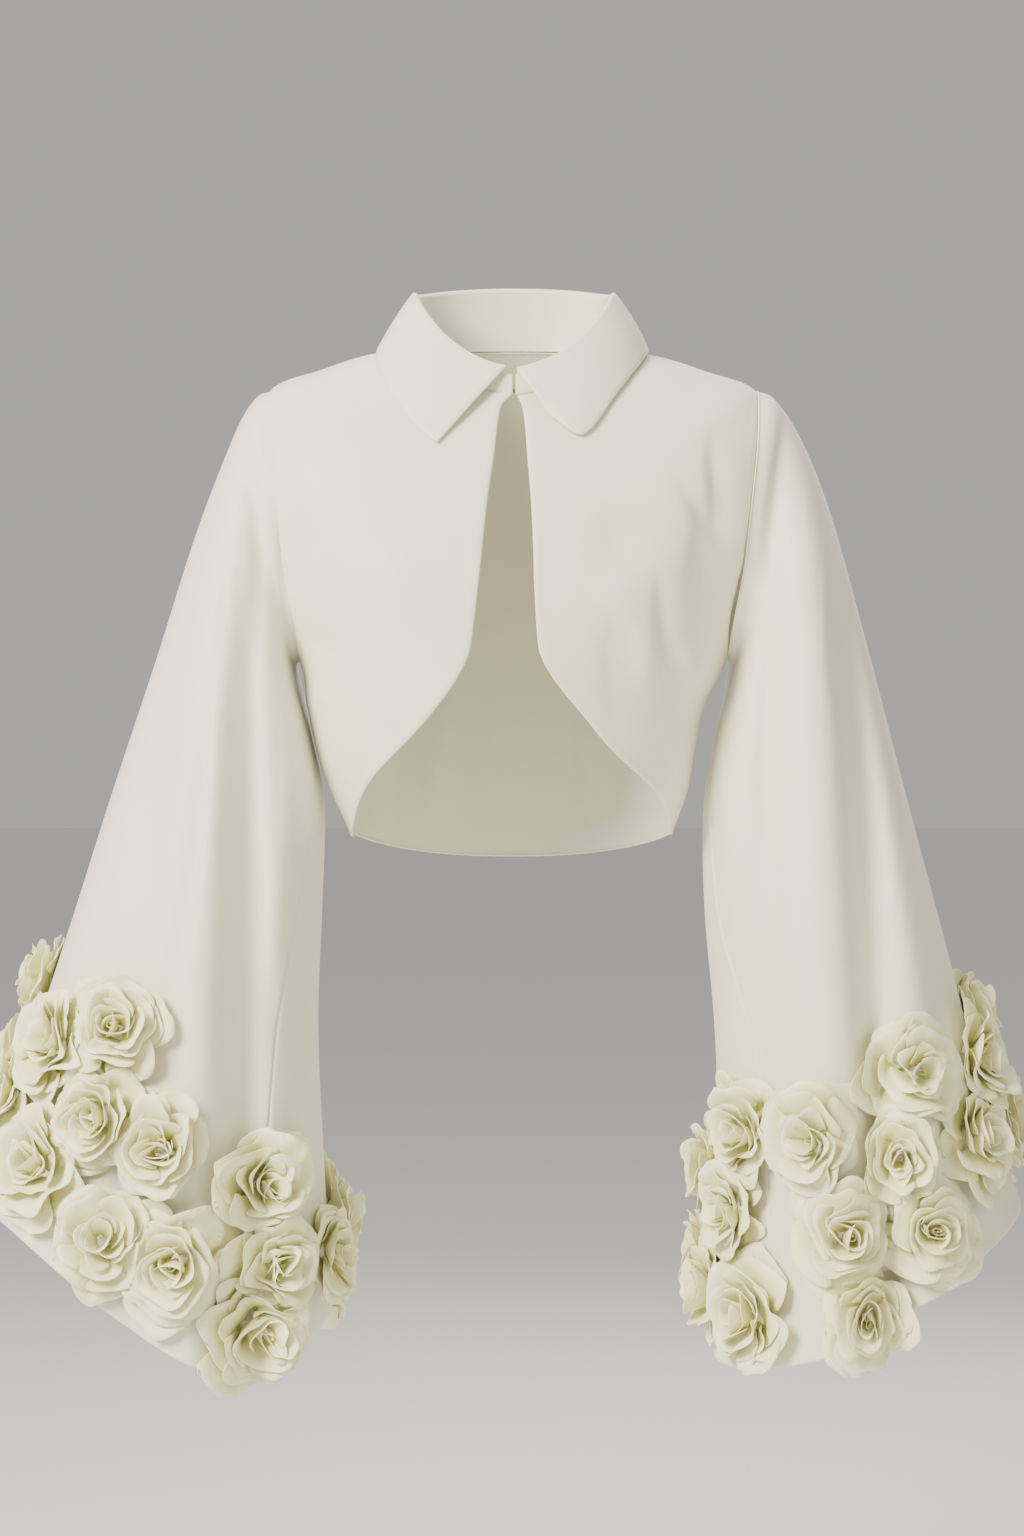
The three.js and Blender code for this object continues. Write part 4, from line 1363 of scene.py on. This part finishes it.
            step = add(tree, "ShaderNodeMath", {0: 2 * math.pi, 1: own["Count"]}, operation="DIVIDE")
            angle = add(
                tree,
                "ShaderNodeMath",
                {0: number, 1: step.outputs[0], 2: own["Start"]},
                operation="MULTIPLY_ADD",
            )
            facing = add(tree, "ShaderNodeMath", {0: angle.outputs[0], 1: -math.pi / 2}, operation="ADD")
            drift = add(
                tree, "ShaderNodeMath", {0: facing.outputs[0], 1: scattered(self.drift, 1)}, operation="ADD"
            )
            stand = add(
                tree, "ShaderNodeMath", {0: own["Stand"], 1: scattered(self.tilt, 2)}, operation="ADD"
            )
            lean = add(
                tree,
                "ShaderNodeCombineXYZ",
                {"X": stand.outputs[0], "Y": scattered(self.slant, 3), "Z": drift.outputs[0]},
            )
            spin = add(tree, "FunctionNodeEulerToRotation", {"Euler": lean.outputs[0]})
            size = add(
                tree,
                "ShaderNodeCombineXYZ",
                {"X": scattered(self.widths, 4), "Y": scattered(self.lengths, 5), "Z": 1.0},
            )
            placed = add(
                tree,
                "GeometryNodeInstanceOnPoints",
                {
                    "Points": turned.outputs[0],
                    "Instance": petal.outputs["Geometry"],
                    "Rotation": spin.outputs[0],
                    "Scale": size.outputs[0],
                },
            )
            tree.links.new(placed.outputs[0], join.inputs[0])
        real = add(tree, "GeometryNodeRealizeInstances", {"Geometry": join.outputs[0]})
        dressed = add(
            tree, "GeometryNodeSetMaterial", {"Geometry": real.outputs[0], "Material": given["Cloth"]}
        )
        add(tree, "NodeGroupOutput", {"Rose": dressed.outputs[0]})
        return tree

    def build(self, material: bpy.types.Material) -> list[bpy.types.Mesh]:
        """Makes every kind of rose, standing on the XY plane.

        Args:
            material: The cloth of the petals.

        Returns:
            One mesh for each kind.
        """
        petals = {shape.name: shape.build(material) for shape in self.petals}
        made = []
        tree = self.tree(len(ROLLED.tiers))
        sockets = {
            item.name: item.identifier
            for item in tree.interface.items_tree
            if item.item_type == "SOCKET" and item.in_out == "INPUT"
        }
        for variant, (flower, closed) in enumerate(self.kinds):
            holder = self.heart(material, flower, variant)
            modifier = holder.modifiers.new("tiers", "NODES")
            modifier.node_group = tree
            modifier[sockets["Seed"]] = self.seed + self.seed_step * variant
            modifier[sockets["Cloth"]] = material
            for i, tier in enumerate(flower.tiers):
                modifier[sockets[f"Petal {i}"]] = petals[tier.petal]
                modifier[sockets[f"Count {i}"]] = tier.count
                modifier[sockets[f"Root {i}"]] = tier.root * MM
                modifier[sockets[f"Lift {i}"]] = tier.lift * MM
                modifier[sockets[f"Stand {i}"]] = math.radians(tier.stand + closed * tier.follow)
                modifier[sockets[f"Start {i}"]] = self.start_step * i + variant
            graph = bpy.context.evaluated_depsgraph_get()
            graph.update()
            made.append(bpy.data.meshes.new_from_object(holder.evaluated_get(graph)))
            bpy.data.objects.remove(holder)
        for petal in petals.values():
            bpy.data.objects.remove(petal)
        return made


@dataclass
class RoseBand:
    """The roses sewn round one cuff, each on its own seat."""

    sleeve: Sleeve
    # Degrees round the sleeve, distance up from the hem, and radius.
    seats: tuple[tuple[float, float, float], ...]
    nominal: float = 38  # radius of a flat rose
    lap: float = 5.0  # how far a petal may pass the middle between two roses
    reach: float = 1.1  # how far past its radius it may spread, as a share
    fullness: float = 1.08  # size of the heart against the radius
    swell: float = 1.5  # height of the soft waves that push a flower about
    wave: float = 1.6  # height of the waves in the outer petals
    lean: float = 0.34  # the most that a flower leans either way
    stitched: float = 0.6  # gap between a rose and the cloth

    def centre(self, seat: tuple[float, float, float]) -> tuple[float, float]:
        """Angle and place down the sleeve of a seat."""
        return seat[0], self.sleeve.cuff - seat[1] / self.sleeve.drop

    def build(self, kinds: Sequence[bpy.types.Mesh], rng: np.random.Generator) -> list[bpy.types.Object]:
        """Bends a rose on to every seat.

        Args:
            kinds: Flat roses to choose from.
            rng: Where the turns and leans come from.

        Returns:
            The roses as finished pieces.
        """
        sleeve = self.sleeve
        places = [self.centre(seat) for seat in self.seats]
        centres = np.array([sleeve.point(*place) for place in places])
        roses = []
        for i, (seat, (around, down)) in enumerate(zip(self.seats, places)):
            kind = kinds[int(rng.integers(len(kinds)))]
            flat = np.empty(3 * len(kind.vertices), dtype=np.float32)
            kind.vertices.foreach_get("co", flat)
            flat = flat.reshape(-1, 3).astype(float) / MM
            turn = rng.uniform(0, 2 * math.pi)
            x = flat[:, 0] * math.cos(turn) - flat[:, 1] * math.sin(turn)
            y = flat[:, 0] * math.sin(turn) + flat[:, 1] * math.cos(turn)
            # No two are pressed alike: the whole flower is pushed about in soft waves.
            push = rng.uniform(0, 2 * math.pi, 4)
            swell_x = self.swell * np.sin(0.2 * y + push[0])
            swell_y = self.swell * np.sin(0.2 * x + push[1])
            x, y = x + swell_x, y + swell_y
            bent = np.sin(0.27 * x + push[2] + 0.7 * np.sin(0.2 * y))
            crumple = self.swell * bent * np.sin(0.24 * y + push[3])
            radius = np.hypot(x, y) / self.nominal
            axis = sleeve.seat_normal(around, down)
            round_ = (sleeve.point(around + 3, down) - sleeve.point(around - 3, down)) / 6
            along = (sleeve.point(around, down + 0.1) - sleeve.point(around, down - 0.1)) / 0.2
            sideways = unit(round_)
            upwards = unit(np.cross(axis, sideways))
            det = (round_ @ sideways) * (along @ upwards) - (round_ @ upwards) * (along @ sideways)
            # Petals stop where they would run into a neighbour's.
            angle = np.arctan2(y, x)
            way = np.cos(angle)[:, None] * sideways + np.sin(angle)[:, None] * upwards
            limit = np.full(len(x), seat[2] * self.reach)
            for other, centre in enumerate(centres):
                if other == i:
                    continue
                off = centre - centres[i]
                towards = way @ off / np.linalg.norm(off)
                room = (np.linalg.norm(off) / 2 + self.lap) / np.maximum(towards, 0.1)
                limit = np.where(towards > 0.1, np.minimum(limit, room), limit)
            scale = limit / self.nominal
            # Only the outer petals are pressed in; the heart keeps its roundness.
            even = seat[2] / self.nominal * self.fullness
            pressed = even + (scale - even) * smooth(radius, 0.15, 0.8)
            lean = rng.uniform(-self.lean, self.lean, 2)
            wave = self.wave * np.sin(3 * angle + rng.uniform(0, 6)) + rng.uniform(0, self.wave)
            z = flat[:, 2] * (0.6 + 0.4 * seat[2] / self.nominal) + wave * smooth(radius, 0.4, 0.95)
            z = z + (crumple + self.swell) * smooth(radius, 0.1, 0.5)
            a, b = x * pressed + lean[0] * z, y * pressed + lean[1] * z
            foot_turn = (a * (along @ upwards) - b * (along @ sideways)) / det
            foot_drop = (b * (round_ @ sideways) - a * (round_ @ upwards)) / det
            foot = sleeve.point(around + foot_turn, down + foot_drop)
            points = foot + axis * (z + self.stitched)[:, None]
            points[:, 0] *= sleeve.side
            mesh = kind.copy()
            name = f"{sleeve.node.replace('sleeve', 'rose')}_{i + 1:02d}"
            mesh.name = name + "_petals"
            if sleeve.side < 0:
                mesh.flip_normals()
            mesh.vertices.foreach_set("co", (points * MM).astype(np.float32).ravel())
            mesh.update()
            obj = bpy.data.objects.new(name + "_petals", mesh)
            bpy.context.scene.collection.objects.link(obj)
            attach(obj, "root")
            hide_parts(name)
            roses.append(obj)
        log.info("%s: %d roses of %d faces", sleeve.node, len(roses), len(kinds[0].polygons))
        return roses


# Tables of the two sleeves

LEFT_SECTIONS = Table(
    "at out_x out_z in_x in_z front back sag",
    [
        (1, 209, -38.5, 171, -240, 68, 62, 3),
        (2, 229, -76, 166, -262, 75, 69, 5),
        (3, 250, -134, 157, -293, 83, 77, 7),
        (4, 275, -226, 148, -350, 93, 88, 10),
        (5, 303, -334, 149, -430, 102, 99, 14),
        (6, 332, -443, 157, -525, 110, 108, 18),
        (7, 361, -553, 160, -638, 117, 116, 23),
        (8, 393, -655, 156, -776, 124, 124, 10),
    ],
)
RIGHT_SECTIONS = Table(
    "at out_x out_z in_x in_z front back sag",
    [
        (1, 207, -38.5, 171, -240, 68, 62, 3),
        (2, 226, -80, 167, -262, 75, 69, 5),
        (3, 249, -142, 158, -293, 83, 77, 8),
        (4, 278, -234, 148, -346, 93, 88, 12),
        (5, 313, -340, 150, -428, 102, 99, 17),
        (6, 346, -444, 153, -522, 110, 108, 22),
        (7, 382, -550, 148, -634, 117, 116, 29),
        (8, 420, -642, 142, -742, 124, 124, 38),
    ],
)
LEFT_SEAM = Table(
    "at degrees",
    [
        (0, 180),
        (1.5, 179),
        (3, 171),
        (4.2, 161),
        (5.06, 153),
        (5.64, 143),
        (6.18, 135),
        (6.86, 134),
        (8, 135),
    ],
)
RIGHT_SEAM = Table(
    "at degrees",
    [
        (0, 180),
        (1.5, 176),
        (3, 163),
        (4, 151),
        (4.86, 144),
        (5.48, 140),
        (6.06, 137),
        (6.8, 132),
        (8, 129),
    ],
)
LEFT_FLUTES = (
    Flute(Face.FRONT, 200, 178, 14, -5),
    Flute(Face.FRONT, 226, 232, 22, 9),
    Flute(Face.FRONT, 238, 276, 13, -18),
    Flute(Face.FRONT, 256, 316, 20, 9),
    Flute(Face.BACK, 206, 212, 17, -12),
    Flute(Face.BACK, 238, 258, 20, 10),
    Flute(Face.BACK, 262, 306, 17, -11),
)
RIGHT_FLUTES = (
    Flute(Face.FRONT, 176, 168, 15, 9),
    Flute(Face.FRONT, 196, 203, 13, -16),
    Flute(Face.FRONT, 212, 236, 18, 8),
    Flute(Face.FRONT, 250, 286, 17, -5),
    Flute(Face.BACK, 204, 222, 18, 10),
    Flute(Face.BACK, 232, 262, 16, -12),
    Flute(Face.BACK, 262, 318, 22, 9),
)
LEFT_ROSES = (
    (66, 164, 39), (28, 139, 36), (44, 88, 36), (110, 158, 39), (76, 113, 35), (103, 84, 39),
    (71, 47, 36), (97, 19, 35), (142, 162, 36), (152, 106, 33), (142, 38, 39), (354, 158, 34),
    (10, 74, 36), (328, 128, 39), (334, 50, 37), (300, 174, 36), (298, 92, 39), (266, 136, 38),
    (268, 50, 38), (230, 106, 37), (228, 24, 36), (198, 62, 37), (180, 128, 35), (172, 42, 34),
)
RIGHT_ROSES = (
    (43, 150, 39), (67, 195, 36), (92, 139, 36), (53, 61, 39), (69, 133, 35), (78, 45, 36),
    (101, 68, 39), (129, 132, 36), (136, 74, 35), (128, 31, 37), (167, 59, 34), (356, 178, 34),
    (22, 96, 36), (348, 118, 38), (344, 42, 37), (316, 110, 39), (312, 36, 37), (290, 166, 37),
    (280, 84, 39), (250, 138, 38), (246, 52, 39), (216, 104, 38), (210, 26, 36), (190, 74, 34),
)


# Studio


@dataclass(frozen=True)
class SoftBox:
    """One square light that looks at the chest; its place and size are in metres."""

    name: str
    place: tuple[float, float, float]
    size: float
    power: float
    tint: str
    aim: tuple[float, float, float] = (0.0, 0.0, -0.3)

    def build(self) -> None:
        """Hangs the light in the scene."""
        lamp = bpy.data.lights.new(self.name, "AREA")
        lamp.size, lamp.energy, lamp.color = self.size, self.power, srgb(self.tint)[:3]
        obj = bpy.data.objects.new(self.name, lamp)
        obj.location = self.place
        way = np.array(self.aim) - np.array(self.place)
        yaw = math.atan2(way[0], -way[1])
        pitch = math.atan2(math.hypot(way[0], way[1]), -way[2])
        obj.rotation_euler = (pitch, 0, yaw + math.pi)
        bpy.context.scene.collection.objects.link(obj)


@dataclass
class Studio:
    """Camera, soft lights and a pale floor, in metres."""

    eye: tuple[float, float, float] = (-0.0016, -2.0, -0.318)
    seen_height: float = 1.198  # of the whole picture, at the jacket
    sensor: float = 36  # of the camera, in millimetres
    floor_z: float = -1.42
    floor_half: float = 45.0
    boxes: tuple[SoftBox, ...] = (
        SoftBox("key", (-2.0, -2.1, 1.3), 1.4, 254, "#FFFAEC"),
        SoftBox("fill", (2.2, -2.4, 0.1), 2.2, 27, "#FFF4DC"),
        SoftBox("crown", (0.1, 0.4, 2.1), 1.6, 38, "#FFFFFF"),
        SoftBox("rear", (0.6, 2.6, 0.9), 2.2, 44, "#FFFCF4"),
    )
    sky: str = "#D2D1CC"
    sky_strength: float = 0.72

    def camera(self) -> None:
        """Sets the camera level, at the height of the middle of the picture."""
        lens = bpy.data.cameras.new("camera")
        lens.sensor_width = self.sensor
        lens.lens = self.sensor * -self.eye[1] / self.seen_height
        lens.clip_start, lens.clip_end = 0.05, 60
        obj = bpy.data.objects.new("camera", lens)
        obj.location = self.eye
        obj.rotation_euler = (math.pi / 2, 0, 0)
        bpy.context.scene.collection.objects.link(obj)
        bpy.context.scene.camera = obj

    def build(self) -> None:
        """Makes the floor, the lights and the sky."""
        half, z = self.floor_half, self.floor_z
        corners = np.array([(-half, -half, z), (half, -half, z), (half, half, z), (-half, half, z)])
        floor = make_object("floor", corners / MM, [(0, 1, 2, 3)], None, PaintedFloor().build())
        for box in self.boxes:
            box.build()
        world = bpy.data.worlds.new("sky")
        world.use_nodes = True
        sky = world.node_tree.nodes["Background"]
        sky.inputs["Color"].default_value = srgb(self.sky)
        sky.inputs["Strength"].default_value = self.sky_strength
        bpy.context.scene.world = world


# The whole jacket


def fronts_and_back() -> list[Panel]:
    """The panels of the body with the creases that each one shows.

    Returns:
        The left front, the right front and the back.
    """
    left = Panel(
        "front_left",
        flat=(0.25, 0.4),
        area=0.0645,
        cols=66,
        start=lambda at: edge_angle("left", at),
        end=lambda at: 90 - FORM.armhole_cut(at, FORM.front_reach),
        seam_y=-SEAM / 2,
        free_edges=(True, False),
        creases=(
            Crease(149, -66, 162, -158, 8, -4.6),
            Crease(120, -104, 166, -154, 7, -3.6),
            Crease(143, -120, 153, -232, 16, -7.4),
            Crease(106, -178, 123, -276, 6, -5.0),
            Crease(115, -226, 140, -330, 7, -4.2),
            Crease(94, -206, 104, -270, 9, 2.2),
            Crease(73, -196, 82, -306, 12, -2.2),
            Crease(128, -224, 146, -262, 8, 2.4),
            Crease(70, -122, 90, -176, 22, -3.2),
            Crease(58, -186, 114, -210, 18, 2.6),
            Crease(44, -62, 92, -140, 24, -1.6),
        ),
    )
    right = Panel(
        "front_right",
        flat=(0.245, 0.4),
        area=0.0636,
        cols=66,
        start=lambda at: -edge_angle("right", at),
        end=lambda at: -(90 - FORM.armhole_cut(at, FORM.front_reach)),
        seam_y=-SEAM / 2,
        free_edges=(True, False),
        creases=(
            Crease(-160, -118, -150, -186, 12, -2.6),
            Crease(-158, -208, -120, -250, 9, -2.2),
            Crease(-66, -160, -120, -204, 24, 2.2),
            Crease(-126, -236, -134, -326, 8, -2.0),
            Crease(-96, -250, -112, -310, 10, 1.4),
            Crease(-46, -66, -96, -130, 24, -1.4),
        ),
    )
    back = Panel(
        "back",
        flat=(0.48, 0.42),
        area=0.1662,
        cols=116,
        start=lambda at: 90 + FORM.armhole_cut(at, FORM.back_reach),
        end=lambda at: 270 - FORM.armhole_cut(at, FORM.back_reach),
        seam_y=SEAM / 2,
        free_edges=(False, False),
        creases=(
            Crease(160, -96, 104, -214, 11, -4.6),
            Crease(-158, -100, -98, -208, 12, -4.2),
            Crease(140, -150, 96, -236, 9, 2.8),
            Crease(-136, -156, -84, -232, 9, 2.4),
            Crease(150, -214, 92, -266, 8, -3.4),
            Crease(-148, -220, -84, -262, 9, -3.2),
            Crease(62, -236, 72, -376, 11, -3.4),
            Crease(-54, -250, -66, -382, 10, -3.6),
            Crease(84, -270, 96, -374, 9, 2.4),
            Crease(-84, -262, -92, -368, 10, 2.6),
            Crease(8, -120, 2, -330, 24, -2.6),
            Crease(96, -36, -90, -42, 12, -2.4),
        ),
    )
    return [left, right, back]


def sleeves() -> list[tuple[Sleeve, RoseBand]]:
    """Both sleeves with their bands of roses.

    Returns:
        The left and the right sleeve, each with its band.
    """
    left = Sleeve(
        "sleeve_left",
        flat=(0.84, 0.76),
        area=0.3725,
        side=1,
        sections=LEFT_SECTIONS,
        flutes=LEFT_FLUTES,
        creases=(
            Crease(180, -70, 166, -240, 6, 3.2),
            Crease(212, -30, 192, -330, 7, -5.6),
            Crease(190, -230, 199, -440, 9, -4.6),
            Crease(226, -60, 236, -300, 14, 2.4),
            Crease(247, -150, 250, -300, 9, -3.4),
            Crease(168, -330, 166, -470, 8, 2.2),
            Crease(206, -300, 214, -520, 9, 1.8),
            Crease(190, -420, 186, -600, 8, -2.0),
            Crease(204, -60, 190, -240, 9, -4.2, Face.BACK),
            Crease(222, -110, 216, -330, 11, 3.0, Face.BACK),
            Crease(182, -160, 176, -330, 9, 2.6, Face.BACK),
            Crease(250, -180, 276, -420, 9, -3.6, Face.BACK),
            Crease(196, -360, 204, -560, 9, 2.6, Face.BACK),
            Crease(290, -380, 312, -540, 11, -2.8, Face.BACK),
        ),
        seam=LEFT_SEAM,
        sag_lean=0.8,
    )
    right = Sleeve(
        "sleeve_right",
        flat=(0.92, 0.76),
        area=0.381,
        side=-1,
        sections=RIGHT_SECTIONS,
        flutes=RIGHT_FLUTES,
        creases=(
            Crease(187, -120, 181, -250, 5, 2.2),
            Crease(179, -114, 170, -184, 3.4, -3.6),
            Crease(198, -100, 193, -240, 5, -2.6),
            Crease(209, -90, 206, -240, 7, 2.0),
            Crease(221, -120, 232, -300, 8, -3.2),
            Crease(230, -220, 268, -540, 7, -4.2),
            Crease(241, -250, 284, -560, 12, 2.2),
            Crease(183, -240, 184, -430, 6, -2.6),
            Crease(171, -250, 166, -480, 8, 3.6),
            Crease(190, -430, 184, -620, 7, -2.2),
            Crease(202, -60, 188, -250, 9, -4.4, Face.BACK),
            Crease(226, -120, 234, -340, 12, 3.2, Face.BACK),
            Crease(180, -180, 172, -360, 9, 2.4, Face.BACK),
            Crease(262, -200, 286, -400, 9, -3.4, Face.BACK),
            Crease(212, -330, 226, -520, 10, -3.0, Face.BACK),
            Crease(300, -400, 330, -560, 12, 2.6, Face.BACK),
        ),
        seam=RIGHT_SEAM,
        sag_lean=1.2,
    )
    return [(left, RoseBand(left, LEFT_ROSES)), (right, RoseBand(right, RIGHT_ROSES))]


def main() -> None:
    """Builds and dresses the jacket piece by piece."""
    logging.basicConfig(level=logging.INFO, format="%(name)s: %(message)s")
    studio = Studio()
    studio.camera()
    studio.build()
    cloth, petal, wire = SatinBackCrepe().build(), PetalCrepe().build(), NickelledWire().build()
    for panel in fronts_and_back():
        panel.dress(panel.build(cloth))
    stand = CollarStand("collar_stand", (0.5, 0.08), 0.017)
    stand.dress(stand.build(cloth))
    leaf = CollarLeaf("collar_leaf", (0.57, 0.12), 0.035, stand)
    leaf.dress(leaf.build(cloth))
    kinds = RoseMaker().build(petal)
    rng = np.random.default_rng(7)
    for sleeve, band in sleeves():
        sleeve.dress(sleeve.build(cloth), band.build(kinds, rng))
    for mesh in kinds:
        bpy.data.meshes.remove(mesh)
    for node in ("closure_hook", "closure_eye"):
        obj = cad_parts[node]
        obj.data.materials.clear()
        obj.data.materials.append(wire)


if __name__ == "__main__":
    main()
